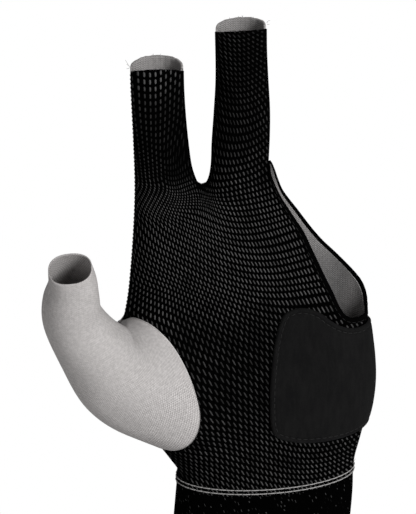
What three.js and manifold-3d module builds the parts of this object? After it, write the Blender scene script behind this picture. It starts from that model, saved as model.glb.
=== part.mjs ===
// Three-finger billiard glove for a left hand, as worn: palm to the front (-Y), fingers up (+Z), thumb at -X.
// The origin is the middle of the wrist opening, where the hand goes in. Millimetres.
// The worn hand is described by one outline in the XZ plane and by two surfaces over it, one to the front and
// one to the back. Each stands off the outline's plane by a depth that changes with the height and rounds
// down to nothing at every edge of the hand. All pieces are walls that follow these surfaces.

import * as THREE from "three";
import Module from "manifold-3d";

const manifold = await Module();
manifold.setup();

// Walls and seams
const KNIT_WALL = 1.2;
const CUFF_WALL = 1.6;
const PAD_WALL = 1.4;
const PAD_CLEARANCE = 0.35;
const SEAM_GAP = 0.3;
const SLEEVE_GAP = 0.45; // from the hole's edge to the sleeve
const BINDING_GAP = 0.54; // from the panels' sewn edge to the tape
const BINDING_WIDTH = { front: 2.3, back: 1.5 };
const BINDING_PROUD = 0.4;
const BINDING_CORNER = { share: 0.7, drop: 0.45 }; // where and how far the tape's free edge rounds off
const BINDING_CHANGE = 4; // the tape changes width over this depth either side of the side seam
const OPENING_TURN = 7; // the opening's edge turns to face the side over this depth

// Heights and wrist seam
const HEM_HEIGHT = 26.6; // lower edge of both panels, at x = 0
const HEM_SLOPE = 0.066; // the seam climbs toward the little finger
const INDEX_RIM = [184.2, 184.5]; // corner heights of the index mouth, thumb side and gap side
const MIDDLE_RIM = [199.1, 200.2]; // corner heights of the middle mouth, gap side and far side
const INDEX_CROWN = { front: 2.9, back: 4.3 }; // how far the mouth's front and back stand above its corners
const MIDDLE_CROWN = { front: 1.8, back: 3 };

// Outline of the hand on the thumb's side, from the cuff up. Columns: x, z
const THUMB_SIDE = [
  [-33.6, 0],
  [-32.7, 11],
  [-32, 26],
  [-32.8, 31],
  [-35.1, 34.4],
  [-38.2, 37.5],
  [-45, 50],
  [-50.5, 63],
  [-53.6, 76],
  [-53.4, 87],
  [-51.3, 90.3],
  [-49.8, 96.8],
  [-48.5, 108],
  [-47.1, 127],
  [-46.6, 141],
  [-47, 158],
  [-47.8, 178],
  [-48, 190],
];

// Outline on the little finger's side, past the opening. Columns: x, z
const LITTLE_SIDE = [
  [33.6, 0],
  [34.7, 11],
  [35.4, 22],
  [35.5, 33],
  [36, 36.2],
  [37.2, 41],
  [38.4, 46],
  [39.7, 51],
  [41, 57],
  [41.8, 66],
  [41.4, 75],
  [40.2, 84],
  [38.9, 91],
  [39.9, 97.5],
  [40.4, 112],
  [41, 130],
  [41, 160],
];

// Gap between the index and middle tubes, down one side and up the other. Columns: x, z
const GAP_INDEX_SIDE = [
  [-22.2, 141.7],
  [-23.5, 142.6],
  [-24.5, 144.8],
  [-25.7, 148.9],
  [-27, 158.9],
  [-27.9, 169],
  [-28.4, 178],
  [-28.6, 190],
];
const GAP_MIDDLE_SIDE = [
  [-22.2, 141.7],
  [-20.8, 142.3],
  [-19.7, 144.4],
  [-18.9, 148.7],
  [-18.5, 158],
  [-17.7, 170],
  [-17.1, 182],
  [-17.5, 206],
];

// Far side of the middle tube, from the top of the opening up. Columns: x, z
const SLIT_SIDE = [
  [2.4, 150],
  [2.8, 160],
  [2.8, 170],
  [2.1, 182],
  [1.6, 192],
  [1.4, 206],
];

// Line from the gap to the wrist, where the two lanes of each panel's grid meet. Columns: x, z
const MIDLINE = [
  [-22.2, 141.7],
  [-12, 60],
  [-6, 20],
];

// Sewn edge of the ring and little finger opening, from the little finger's side up. Columns: x, z
const OPENING_FRONT = [
  [38.9, 91],
  [36, 91.3],
  [32.8, 91.6],
  [29.6, 94.4],
  [27.2, 98.6],
  [23.9, 104.6],
  [20.8, 110.2],
  [17.9, 115.8],
  [15.4, 120.8],
  [12.9, 126.4],
  [10, 131.2],
  [7.2, 135.2],
  [4.5, 139.2],
  [2.7, 142.8],
  [1.8, 145.6],
  [1.7, 148.2],
  [2.4, 150],
];
const OPENING_BACK = [
  [38.9, 91],
  [39, 94.2],
  [38.6, 97.4],
  [37.2, 100.8],
  [34.2, 103.6],
  [30.7, 106.9],
  [26.3, 110.9],
  [22, 114.6],
  [18.5, 118.7],
  [14.7, 123.6],
  [11.7, 128.3],
  [8.7, 131.9],
  [6.2, 135.8],
  [4.6, 140],
  [3.5, 143.8],
  [2.8, 147.2],
  [2.4, 150],
];

// Seam round the thumb's mound, from the wrist up. Columns: x, z
const THUMB_SEAM_FRONT = [
  [-38.2, 37.5],
  [-34.2, 40.2],
  [-29.7, 43.6],
  [-25.9, 48],
  [-23.6, 53],
  [-22.8, 58.7],
  [-23.5, 64.4],
  [-25.3, 70.8],
  [-28, 77.6],
  [-31.2, 83],
  [-35, 87.4],
  [-39.3, 90.7],
  [-44.2, 92.8],
  [-48.6, 92],
  [-51.6, 90],
  [-53.2, 87.6],
];
const THUMB_SEAM_BACK = [
  [-53.2, 87.6],
  [-50.6, 84],
  [-47, 76],
  [-43.5, 64],
  [-40.5, 53],
  [-38.6, 44],
  [-38.2, 37.5],
];

// Depth of the hand and how gently it rounds off at each side.
// Columns: z, front depth, back depth, thumb side radius, little finger side radius
const SECTIONS = [
  [0, 21, 21, 34, 34],
  [30, 21, 20.5, 33, 33],
  [45, 20.5, 17.5, 28, 28],
  [60, 19.5, 15.6, 22, 24],
  [80, 17, 14.3, 17, 20],
  [100, 14.8, 13.4, 15, 17],
  [120, 13.4, 12.8, 14, 15],
  [140, 11.6, 11.6, 12, 13],
  [155, 10, 10, 9.6, 10],
  [175, 9.6, 9.6, 9.5, 10],
  [205, 9.4, 9.4, 9.4, 10],
];
const FINGER_RADIUS = 9.5;
const MOUND = { x: -36, z: 64, height: 5, spread: 14 }; // the thumb's mound lifts the palm beside it

// Sections of the thumb's sleeve, from the mound to the mouth.
// Columns: x, y, z of the middle, half width, half depth, turn of the width from +X toward +Z in degrees
const THUMB_SECTIONS = [
  [-53.1, -15, 70.8, 17.4, 15, 84],
  [-57.8, -22, 77.4, 13.8, 13, 61],
  [-63.8, -29.5, 90.6, 11.8, 12, 32],
  [-68.4, -36.5, 102.6, 10.4, 11, 10],
  [-68.2, -42, 111.9, 9.4, 10, 0],
  [-67.8, -46, 118.9, 8.3, 8.6, 0],
  [-68.3, -50, 125.4, 7, 7.2, 0],
];
const THUMB_LEAN = 28; // degrees the sleeve leans forward

// Heel pad's edges on the palm. Columns: x, z
const PAD_TOP = [
  [11, 98.2],
  [14.3, 98.9],
  [18.3, 98.3],
  [22, 96.6],
  [25.4, 93.9],
  [28.9, 91.6],
  [32.4, 90.2],
  [36.4, 89.6],
  [42, 89.6],
];
const PAD_BOTTOM = [
  [8, 49],
  [13.9, 47.9],
  [20, 47.8],
  [26, 48],
  [33, 48.5],
  [38, 49.3],
  [42, 50.4],
];
const PAD_INNER_SIDE = [
  [8, 49],
  [5, 50.4],
  [3.6, 54],
  [3, 64.9],
  [3.6, 76],
  [4.8, 86],
  [6.4, 92.6],
  [8.3, 96.6],
  [11, 98.2],
];
const PAD_WRAP = 9; // how far the pad runs on round the side, onto the back
const LITTLE_SIDE_MIDDLE = 41; // x of the side that the pad wraps round, halfway up it

// Grid sizes
const LANE_COLUMNS = 8;
const HEEL_ROWS = 12;
const OPENING_ROWS = 20;
const TUBE_ROWS = 12;
const RING_COLUMNS = { front: 18, back: 12 };
const SLEEVE_ROWS = 15;
const PAD_ROWS = 12;
const PAD_COLUMNS = { front: 12, back: 4 };
const CUFF_ROWS = 6;
const CUFF_COLUMNS = 22; // on each face
const EDGE_SAMPLES = 240;

// Heights where a panel's grid goes from heel rows to opening rows, and from those to tube rows
const HEEL_TOP = { thumbSide: 89, midline: 92 };
const TUBE_FOOT = 139;
const GAP_ROW_EASE = 1.8; // rows lie closer together where the gap between the tubes begins

// Body that cuts the thumb's oval: offsets along the seam's normals, and the middles of its two ends
const CUTTER_OFFSETS = [-3.5, 3, 14];
const CUTTER_ENDS = [
  [-36, -3, 64],
  [-90, -20, 64],
];

const FRONT = -1;
const BACK = 1;

// Finishes
const FINISHES = {
  mesh: new THREE.MeshStandardMaterial({ color: 0x161616, roughness: 0.85, metalness: 0 }),
  jersey: new THREE.MeshStandardMaterial({ color: 0xbab6b4, roughness: 0.9, metalness: 0 }),
  pad: new THREE.MeshStandardMaterial({ color: 0x1a1a1a, roughness: 0.7, metalness: 0 }),
  tape: new THREE.MeshStandardMaterial({ color: 0x101010, roughness: 0.8, metalness: 0 }),
  cuff: new THREE.MeshStandardMaterial({ color: 0x0c0c0c, roughness: 0.9, metalness: 0 }),
};

// A smooth line through a table of x, z points
function smoothLine(table, count = 80) {
  const curve = new THREE.CatmullRomCurve3(
    table.map(([x, z]) => new THREE.Vector3(x, 0, z)),
    false,
    "centripetal",
  );
  return curve.getPoints(count);
}

const thumbSide = smoothLine(THUMB_SIDE);
const littleSide = smoothLine(LITTLE_SIDE);
const gapIndexSide = smoothLine(GAP_INDEX_SIDE);
const gapMiddleSide = smoothLine(GAP_MIDDLE_SIDE);
const slitSide = smoothLine(SLIT_SIDE);
const midline = smoothLine(MIDLINE);

// x of a line at height z
function xAt(line, z) {
  const rising = line[0].z < line[line.length - 1].z;
  const ordered = rising ? line : [...line].reverse();
  let i = 1;
  while (i < ordered.length - 1 && ordered[i].z < z) i++;
  const [a, b] = [ordered[i - 1], ordered[i]];
  return THREE.MathUtils.mapLinear(z, a.z, b.z, a.x, b.x);
}

// Distance in the XZ plane from a point to a line
function distanceTo(line, x, z) {
  let least = Infinity;
  for (let i = 1; i < line.length; i++) {
    const a = line[i - 1];
    const dx = line[i].x - a.x;
    const dz = line[i].z - a.z;
    const t = THREE.MathUtils.clamp(((x - a.x) * dx + (z - a.z) * dz) / (dx * dx + dz * dz), 0, 1);
    least = Math.min(least, Math.hypot(x - a.x - t * dx, z - a.z - t * dz));
  }
  return least;
}

// One column of SECTIONS at height z, run smoothly through the rows
function sectionAt(z, column) {
  const last = SECTIONS.length - 1;
  let i = 0;
  while (i < last - 1 && SECTIONS[i + 1][0] < z) i++;
  const row = (k) => SECTIONS[THREE.MathUtils.clamp(k, 0, last)];
  const slope = (k) => (row(k + 1)[column] - row(k - 1)[column]) / (row(k + 1)[0] - row(k - 1)[0]);
  const span = row(i + 1)[0] - row(i)[0];
  const t = THREE.MathUtils.clamp((z - row(i)[0]) / span, 0, 1);
  const t2 = t * t;
  const t3 = t2 * t;
  return (
    (2 * t3 - 3 * t2 + 1) * row(i)[column] +
    (t3 - 2 * t2 + t) * span * slope(i) +
    (3 * t2 - 2 * t3) * row(i + 1)[column] +
    (t3 - t2) * span * slope(i + 1)
  );
}

// Quarter round: 0 at an edge, 1 once the distance has reached the radius
function quarterRound(distance, radius) {
  const q = THREE.MathUtils.clamp(distance / radius, 0, 1);
  return Math.sqrt(1 - (1 - q) ** 2);
}

// How far the outer surface stands off the outline's plane
function depthAt(side, x, z) {
  const gap = Math.min(distanceTo(gapIndexSide, x, z), distanceTo(gapMiddleSide, x, z));
  const rounding =
    quarterRound(x - xAt(thumbSide, z), sectionAt(z, 3)) *
    quarterRound(xAt(littleSide, z) - x, sectionAt(z, 4)) *
    quarterRound(gap, FINGER_RADIUS) *
    quarterRound(distanceTo(slitSide, x, z), FINGER_RADIUS);
  if (side === BACK) return sectionAt(z, 2) * rounding;
  const off = ((x - MOUND.x) ** 2 + (z - MOUND.z) ** 2) / (2 * MOUND.spread ** 2);
  return (sectionAt(z, 1) + MOUND.height * Math.exp(-off)) * rounding;
}

function surfacePoint(side, x, z) {
  return new THREE.Vector3(x, side * depthAt(side, x, z), z);
}

function surfaceNormal(side, x, z) {
  const step = 0.05;
  const alongX = (depthAt(side, x + step, z) - depthAt(side, x - step, z)) / (2 * step);
  const alongZ = (depthAt(side, x, z + step) - depthAt(side, x, z - step)) / (2 * step);
  return new THREE.Vector3(-alongX, side, -alongZ).normalize();
}

// An edge on the surface as a run of points, closest together near its two ends
function surfaceEdge(side, table) {
  const curve = smoothLine(table, EDGE_SAMPLES);
  const points = [];
  for (let i = 0; i <= EDGE_SAMPLES; i++) {
    const s = ((1 - Math.cos((Math.PI * i) / EDGE_SAMPLES)) / 2) * EDGE_SAMPLES;
    const k = Math.min(Math.floor(s), EDGE_SAMPLES - 1);
    const flat = curve[k].clone().lerp(curve[k + 1], s - k);
    points.push(surfacePoint(side, flat.x, flat.z));
  }
  return points;
}

// Points at even steps along a polyline
function evenPoints(samples, steps) {
  const lengths = [0];
  for (let i = 1; i < samples.length; i++) {
    lengths.push(lengths[i - 1] + samples[i].distanceTo(samples[i - 1]));
  }
  const total = lengths[lengths.length - 1];
  const points = [];
  let k = 1;
  for (let i = 0; i <= steps; i++) {
    const goal = (total * i) / steps;
    while (k < samples.length - 1 && lengths[k] < goal) k++;
    const t = (goal - lengths[k - 1]) / (lengths[k] - lengths[k - 1]);
    points.push(samples[k - 1].clone().lerp(samples[k], THREE.MathUtils.clamp(t, 0, 1)));
  }
  return points;
}

// A wall between two offsets from a skin of points joined by four-sided faces
function wall(skin, faces, normals, outer, inner) {
  const count = skin.length;
  const positions = [];
  for (const offset of [outer, inner]) {
    skin.forEach((p, i) => positions.push(...p.clone().addScaledVector(normals[i], offset).toArray()));
  }
  const index = [];
  const edges = new Map();
  for (const [a, b, c, d] of faces) {
    index.push(a, b, c, a, c, d);
    index.push(count + a, count + c, count + b, count + a, count + d, count + c);
    for (const [p, q] of [[a, b], [b, c], [c, d], [d, a]]) {
      if (edges.has(q + "," + p)) edges.delete(q + "," + p);
      else edges.set(p + "," + q, [p, q]);
    }
  }
  for (const [p, q] of edges.values()) {
    index.push(q, p, count + p, q, count + p, count + q);
  }
  return facingOut(positions, index);
}

// A closed geometry whose faces point out, whichever way they were listed
function facingOut(positions, index) {
  let volume = 0;
  const corner = (i) => new THREE.Vector3().fromArray(positions, 3 * i);
  for (let i = 0; i < index.length; i += 3) {
    volume += corner(index[i]).dot(corner(index[i + 1]).cross(corner(index[i + 2])));
  }
  if (volume < 0) index.reverse();
  const geometry = new THREE.BufferGeometry();
  geometry.setAttribute("position", new THREE.Float32BufferAttribute(positions, 3));
  geometry.setIndex(index);
  return geometry;
}

// Faces of a grid of rows, closed round if wrap is true
function gridFaces(rows, columns, wrap = false) {
  const faces = [];
  const across = wrap ? columns : columns - 1;
  for (let r = 0; r < rows - 1; r++) {
    for (let c = 0; c < across; c++) {
      const next = (c + 1) % columns;
      faces.push([r * columns + c, r * columns + next, (r + 1) * columns + next, (r + 1) * columns + c]);
    }
  }
  return faces;
}

// Points that coincide become one point
function weld(points, faces) {
  const places = new Map();
  const kept = [];
  const renumbered = points.map((p) => {
    const key = p.toArray().map((v) => v.toFixed(3)).join();
    if (!places.has(key)) {
      places.set(key, kept.length);
      kept.push(p);
    }
    return places.get(key);
  });
  return { points: kept, faces: faces.map((face) => face.map((i) => renumbered[i])) };
}

// Where each row of a panel's grid meets the four lines that bound its two lanes
function panelRows(side) {
  const opening = side === FRONT ? openingFront : openingBack;
  const hem = (line) => {
    let z = HEM_HEIGHT;
    for (let i = 0; i < 6; i++) z = HEM_HEIGHT + HEM_SLOPE * xAt(line, z);
    return z;
  };
  const at = (line, z) => ({ x: xAt(line, z), z });
  const rows = [];
  for (let i = 0; i <= HEEL_ROWS; i++) {
    const t = i / HEEL_ROWS;
    const middle = at(midline, THREE.MathUtils.lerp(hem(midline), HEEL_TOP.midline, t));
    rows.push({
      left: at(thumbSide, THREE.MathUtils.lerp(hem(thumbSide), HEEL_TOP.thumbSide, t)),
      gapLeft: middle,
      gapRight: middle,
      right: at(littleSide, THREE.MathUtils.lerp(hem(littleSide), OPENING_FRONT[0][1], t)),
      crown: 0,
    });
  }
  for (let i = 1; i <= OPENING_ROWS; i++) {
    const t = i / OPENING_ROWS;
    const middle = at(midline, THREE.MathUtils.lerp(HEEL_TOP.midline, GAP_INDEX_SIDE[0][1], t));
    rows.push({
      left: at(thumbSide, THREE.MathUtils.lerp(HEEL_TOP.thumbSide, TUBE_FOOT, t)),
      gapLeft: middle,
      gapRight: middle,
      right: opening[i],
      crown: 0,
    });
  }
  for (let i = 1; i <= TUBE_ROWS; i++) {
    const t = i / TUBE_ROWS;
    const lifted = t ** GAP_ROW_EASE;
    rows.push({
      left: at(thumbSide, THREE.MathUtils.lerp(TUBE_FOOT, INDEX_RIM[0], t)),
      gapLeft: at(gapIndexSide, THREE.MathUtils.lerp(GAP_INDEX_SIDE[0][1], INDEX_RIM[1], lifted)),
      gapRight: at(gapMiddleSide, THREE.MathUtils.lerp(GAP_MIDDLE_SIDE[0][1], MIDDLE_RIM[0], lifted)),
      right: at(slitSide, THREE.MathUtils.lerp(SLIT_SIDE[0][1], MIDDLE_RIM[1], t)),
      crown: t,
    });
  }
  return rows;
}

// One lane of a panel between two of its lines
function lanePoints(side, rows, from, to, crown) {
  const points = [];
  for (const row of rows) {
    for (let c = 0; c <= LANE_COLUMNS; c++) {
      const t = (1 - Math.cos((Math.PI * c) / LANE_COLUMNS)) / 2;
      const x = THREE.MathUtils.lerp(row[from].x, row[to].x, t);
      const z = THREE.MathUtils.lerp(row[from].z, row[to].z, t);
      const arch = crown * row.crown * Math.sin((Math.PI * c) / LANE_COLUMNS);
      const point = surfacePoint(side, x, z + arch);
      point.y += (side * SEAM_GAP) / 2;
      points.push(point);
    }
  }
  return points;
}

// Loops on the hand, each from its front edge on to its back edge
const openingFront = evenPoints(surfaceEdge(FRONT, OPENING_FRONT), OPENING_ROWS);
const openingBack = evenPoints(surfaceEdge(BACK, OPENING_BACK), OPENING_ROWS);
const thumbFront = evenPoints(surfaceEdge(FRONT, THUMB_SEAM_FRONT), RING_COLUMNS.front);
const thumbBack = evenPoints(surfaceEdge(BACK, THUMB_SEAM_BACK), RING_COLUMNS.back);

// Outward direction along the opening's edge, which turns to the side at its two ends
function openingNormal(point) {
  const facing = THREE.MathUtils.smoothstep(Math.abs(point.y), 0, OPENING_TURN);
  const normal = surfaceNormal(point.y > 0 ? BACK : FRONT, point.x, point.z);
  return normal.lerp(new THREE.Vector3(1, 0, 0), 1 - facing).normalize();
}

// A point's neighbours give the loop's direction there
function loopTangent(loop, i) {
  const after = loop[(i + 1) % loop.length];
  const before = loop[(i + loop.length - 1) % loop.length];
  return after.clone().sub(before).normalize();
}

// Seam loop round the thumb: points, outward normals and the way into the sleeve
function thumbLoop() {
  const points = [...thumbFront.slice(0, -1), ...thumbBack.slice(0, -1)];
  const normals = points.map((p, i) => {
    if (i === 0 || i === RING_COLUMNS.front) return new THREE.Vector3(-1, 0, 0);
    return surfaceNormal(i < RING_COLUMNS.front ? FRONT : BACK, p.x, p.z);
  });
  const inward = points.map((p, i) => loopTangent(points, i).cross(normals[i]).normalize());
  return { points, normals, inward };
}

// Body that takes the thumb's oval out of a panel, its wall square to the knit
function thumbCutter() {
  const { points, normals } = thumbLoop();
  const positions = CUTTER_OFFSETS.flatMap((offset) =>
    points.flatMap((p, i) => p.clone().addScaledVector(normals[i], offset).toArray()),
  );
  const count = points.length;
  const index = gridFaces(CUTTER_OFFSETS.length, count, true).flatMap(([a, b, c, d]) => [a, b, c, a, c, d]);
  CUTTER_ENDS.forEach((end, k) => {
    const middle = positions.length / 3;
    positions.push(...end);
    const start = k * (CUTTER_OFFSETS.length - 1) * count;
    for (let i = 0; i < count; i++) {
      const next = (i + 1) % count;
      if (k === 0) index.push(start + next, start + i, middle);
      else index.push(start + i, start + next, middle);
    }
  });
  return facingOut(positions, index);
}

function toManifold(geometry) {
  const vertProperties = new Float32Array(geometry.getAttribute("position").array);
  const triVerts = new Uint32Array(geometry.getIndex().array);
  return new manifold.Manifold(new manifold.Mesh({ numProp: 3, vertProperties, triVerts }));
}

function fromManifold(solid) {
  const mesh = solid.getMesh();
  const geometry = new THREE.BufferGeometry();
  geometry.setAttribute("position", new THREE.BufferAttribute(new Float32Array(mesh.vertProperties), 3));
  geometry.setIndex(new THREE.BufferAttribute(new Uint32Array(mesh.triVerts), 1));
  return geometry;
}

function panel(side) {
  const rows = panelRows(side);
  const face = side === FRONT ? "front" : "back";
  const indexLane = lanePoints(side, rows, "left", "gapLeft", INDEX_CROWN[face]);
  const middleLane = lanePoints(side, rows, "gapRight", "right", MIDDLE_CROWN[face]);
  const faces = gridFaces(rows.length, LANE_COLUMNS + 1);
  const shifted = faces.map((face) => face.map((i) => i + indexLane.length));
  const skin = weld([...indexLane, ...middleLane], [...faces, ...shifted]);
  const opening = side === FRONT ? openingFront : openingBack;
  const normals = skin.points.map((p) => {
    if (opening.some((q) => Math.hypot(q.x - p.x, q.z - p.z) < 1e-3)) return openingNormal(p);
    const normal = surfaceNormal(side, p.x, p.z);
    if (Math.abs(p.y) < SEAM_GAP) normal.setY(0).normalize();
    return normal;
  });
  const solid = toManifold(wall(skin.points, skin.faces, normals, 0, -KNIT_WALL));
  return fromManifold(solid.subtract(toManifold(thumbCutter())));
}

// Sections of the thumb sleeve beyond its seam, as rings of points in the order of the seam loop
function thumbRings() {
  const lean = THREE.MathUtils.degToRad(THUMB_LEAN);
  return THUMB_SECTIONS.map(([x, y, z, halfWidth, halfDepth, turn]) => {
    const tilt = THREE.MathUtils.degToRad(turn);
    const across = new THREE.Vector3(Math.cos(tilt), 0, Math.sin(tilt));
    const axis = new THREE.Vector3(-Math.sin(tilt), 0, Math.cos(tilt));
    const forward = new THREE.Vector3(0, -Math.cos(lean), 0).addScaledVector(axis, -Math.sin(lean));
    const points = [];
    for (let i = 0; i < RING_COLUMNS.front + RING_COLUMNS.back; i++) {
      const isFront = i < RING_COLUMNS.front;
      const share = isFront ? i / RING_COLUMNS.front : 1 + (i - RING_COLUMNS.front) / RING_COLUMNS.back;
      const angle = Math.PI * share;
      const point = new THREE.Vector3(x, y, z);
      point.addScaledVector(across, -halfWidth * Math.cos(angle));
      point.addScaledVector(forward, halfDepth * Math.sin(angle));
      points.push(point);
    }
    return points;
  });
}

function thumbSleeve() {
  const loop = thumbLoop();
  const base = loop.points.map((p, i) => p.clone().addScaledVector(loop.inward[i], SLEEVE_GAP));
  const rings = [base, ...thumbRings()];
  const columns = base.length;
  const grid = base.map((_, i) => {
    const curve = new THREE.CatmullRomCurve3(
      rings.map((ring) => ring[i]),
      false,
      "centripetal",
    );
    return curve.getSpacedPoints(SLEEVE_ROWS);
  });
  const skin = [];
  for (let r = 0; r <= SLEEVE_ROWS; r++) {
    for (let c = 0; c < columns; c++) skin.push(grid[c][r]);
  }
  const normals = skin.map((p, i) => {
    const c = i % columns;
    const r = Math.floor(i / columns);
    if (r === 0) return loop.normals[c];
    const along = grid[c][Math.min(r + 1, SLEEVE_ROWS)].clone().sub(grid[c][r - 1]);
    const round = grid[(c + 1) % columns][r].clone().sub(grid[(c + columns - 1) % columns][r]);
    return along.cross(round).normalize();
  });
  return wall(skin, gridFaces(SLEEVE_ROWS + 1, columns, true), normals, 0, -KNIT_WALL);
}

// Pad on the heel, laid over the palm and on round the little finger's side
function heelPad() {
  const top = smoothLine(PAD_TOP);
  const bottom = smoothLine(PAD_BOTTOM);
  const inner = smoothLine(PAD_INNER_SIDE);
  const { front, back } = PAD_COLUMNS;
  const zAt = (line, x) => {
    const i = Math.max(1, line.findIndex((p) => p.x > x));
    const [a, b] = [line[i - 1], line[i]];
    return THREE.MathUtils.mapLinear(x, a.x, b.x, a.z, b.z);
  };
  const skin = [];
  const normals = [];
  for (let r = 0; r <= PAD_ROWS; r++) {
    const v = (1 - Math.cos((Math.PI * r) / PAD_ROWS)) / 2;
    const start = inner[Math.round(v * (inner.length - 1))];
    const place = (x) => {
      const low = zAt(bottom, Math.max(x, bottom[0].x));
      const high = zAt(top, Math.max(x, top[0].x));
      const startLow = zAt(bottom, Math.max(start.x, bottom[0].x));
      const startHigh = zAt(top, Math.max(start.x, top[0].x));
      const share = THREE.MathUtils.clamp((start.z - startLow) / (startHigh - startLow), 0, 1);
      return low + (high - low) * share;
    };
    for (let c = 0; c <= front + back; c++) {
      const isFront = c <= front;
      const s = isFront ? Math.sin((Math.PI / 2) * (c / front)) : ((c - front) / back) ** 2;
      const edgeHeight = place(LITTLE_SIDE_MIDDLE);
      const edge = xAt(littleSide, edgeHeight);
      const x = isFront ? THREE.MathUtils.lerp(start.x, edge, s) : edge - PAD_WRAP * s;
      const z = isFront ? place(x) : edgeHeight;
      const side = isFront ? FRONT : BACK;
      const atEdge = c === front;
      const point = surfacePoint(side, atEdge ? xAt(littleSide, z) : x, z);
      skin.push(point);
      normals.push(atEdge ? new THREE.Vector3(1, 0, 0) : surfaceNormal(side, x, z));
    }
  }
  const faces = gridFaces(PAD_ROWS + 1, front + back + 1);
  return wall(skin, faces, normals, PAD_CLEARANCE + PAD_WALL, PAD_CLEARANCE);
}

// Tape round the opening, beyond the panels' sewn edge
function openingBinding() {
  const loop = [...openingFront, ...openingBack.slice(1, -1).reverse()];
  const under = -KNIT_WALL;
  const { share, drop } = BINDING_CORNER;
  const section = [
    [0, under],
    [share, under],
    [1, under + drop],
    [1, BINDING_PROUD - drop],
    [share, BINDING_PROUD],
    [0, BINDING_PROUD],
  ];
  const positions = [];
  loop.forEach((p, i) => {
    const tangent = loopTangent(loop, i);
    const inward = tangent.clone().cross(openingNormal(p)).normalize();
    const normal = inward.clone().cross(tangent);
    const toBack = THREE.MathUtils.smoothstep(p.y, -BINDING_CHANGE, BINDING_CHANGE);
    const width = THREE.MathUtils.lerp(BINDING_WIDTH.front, BINDING_WIDTH.back, toBack);
    for (const [across, out] of section) {
      const along = THREE.MathUtils.lerp(BINDING_GAP, width, across);
      positions.push(...p.clone().addScaledVector(inward, along).addScaledVector(normal, out).toArray());
    }
  });
  const count = section.length;
  const index = [];
  for (let i = 0; i < loop.length; i++) {
    const next = (i + 1) % loop.length;
    for (let k = 0; k < count; k++) {
      const l = (k + 1) % count;
      const [a, b, c, d] = [i * count + k, next * count + k, next * count + l, i * count + l];
      index.push(a, b, c, a, c, d);
    }
  }
  return facingOut(positions, index);
}

// Band below the panels' hem
function wristCuff() {
  const half = CUFF_COLUMNS;
  const skin = [];
  const normals = [];
  for (let r = 0; r <= CUFF_ROWS; r++) {
    for (let c = 0; c < 2 * half; c++) {
      const side = c <= half ? FRONT : BACK;
      const t = (1 - Math.cos((Math.PI * c) / half)) / 2;
      const level = r / CUFF_ROWS;
      let z = 0;
      let x = 0;
      for (let i = 0; i < 4; i++) {
        x = THREE.MathUtils.lerp(xAt(thumbSide, z), xAt(littleSide, z), t);
        z = level * (HEM_HEIGHT + HEM_SLOPE * x - SEAM_GAP);
      }
      skin.push(surfacePoint(side, x, z));
      const atEdge = c % half === 0;
      const normal = atEdge ? new THREE.Vector3(c === 0 ? -1 : 1, 0, 0) : surfaceNormal(side, x, z);
      if (r === 0) normal.setZ(0).normalize();
      normals.push(normal);
    }
  }
  return wall(skin, gridFaces(CUFF_ROWS + 1, 2 * half, true), normals, 0, -CUFF_WALL);
}

const glove = new THREE.Group();
const pieces = [
  ["palm_panel", panel(FRONT), FINISHES.mesh],
  ["back_panel", panel(BACK), FINISHES.jersey],
  ["thumb_sleeve", thumbSleeve(), FINISHES.jersey],
  ["heel_pad", heelPad(), FINISHES.pad],
  ["opening_binding", openingBinding(), FINISHES.tape],
  ["wrist_cuff", wristCuff(), FINISHES.cuff],
];
for (const [name, geometry, finish] of pieces) {
  const mesh = new THREE.Mesh(geometry, finish);
  mesh.name = name;
  glove.add(mesh);
}

export default glove;
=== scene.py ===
# %% [markdown]
# # A three-finger billiard glove
# The glove is cut from stretch cloth: a black mesh palm, a grey jersey back and thumb, a suede pad on the
# heel of the hand, a taped opening for two fingers and a black wrist band. It could be modelled by sculpting,
# or by draping cloth over a hand. Here every piece is laid over one measured form of the hand, because sewn
# stretch cloth takes the hand's form, and pieces that share a form always meet at their seams.
# Lengths are in millimetres while a piece is shaped, and each mesh is written in metres.

# %% Frame and modules
import math
import random

import bpy
import numpy as np
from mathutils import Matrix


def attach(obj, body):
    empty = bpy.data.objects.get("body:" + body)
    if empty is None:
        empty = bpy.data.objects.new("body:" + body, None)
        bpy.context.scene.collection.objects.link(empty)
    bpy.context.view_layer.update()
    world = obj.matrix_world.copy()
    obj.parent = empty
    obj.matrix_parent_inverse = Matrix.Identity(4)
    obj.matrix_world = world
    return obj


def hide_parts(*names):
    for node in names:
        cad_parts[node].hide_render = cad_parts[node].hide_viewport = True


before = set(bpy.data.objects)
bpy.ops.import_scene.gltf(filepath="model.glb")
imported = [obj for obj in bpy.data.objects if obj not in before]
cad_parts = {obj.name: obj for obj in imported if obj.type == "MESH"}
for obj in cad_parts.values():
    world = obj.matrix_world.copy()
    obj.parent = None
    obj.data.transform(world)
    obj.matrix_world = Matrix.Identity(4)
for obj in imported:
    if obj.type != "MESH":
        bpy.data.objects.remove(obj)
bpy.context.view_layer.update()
random.seed(7)
MM = 0.001

# %% [markdown]
# ## Camera
# A long lens a metre away flattens the perspective as a catalogue photograph does. The sensor's 36 mm belong
# to the long side of the picture.

# %% Camera
CAMERA_TARGET = (-0.0198, 0.0, 0.1136)
CAMERA_DISTANCE = 1.057
CAMERA_ELEVATION = math.radians(18)

camera = bpy.data.objects.new("camera", bpy.data.cameras.new("camera"))
camera.data.lens = 200
camera.data.sensor_width = 36
camera.location = (
    CAMERA_TARGET[0],
    CAMERA_TARGET[1] - CAMERA_DISTANCE * math.cos(CAMERA_ELEVATION),
    CAMERA_TARGET[2] + CAMERA_DISTANCE * math.sin(CAMERA_ELEVATION),
)
camera.rotation_euler = (math.pi / 2 - CAMERA_ELEVATION, 0, 0)
bpy.context.scene.collection.objects.link(camera)
bpy.context.scene.camera = camera
print("camera at", [round(v, 3) for v in camera.location])

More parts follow.
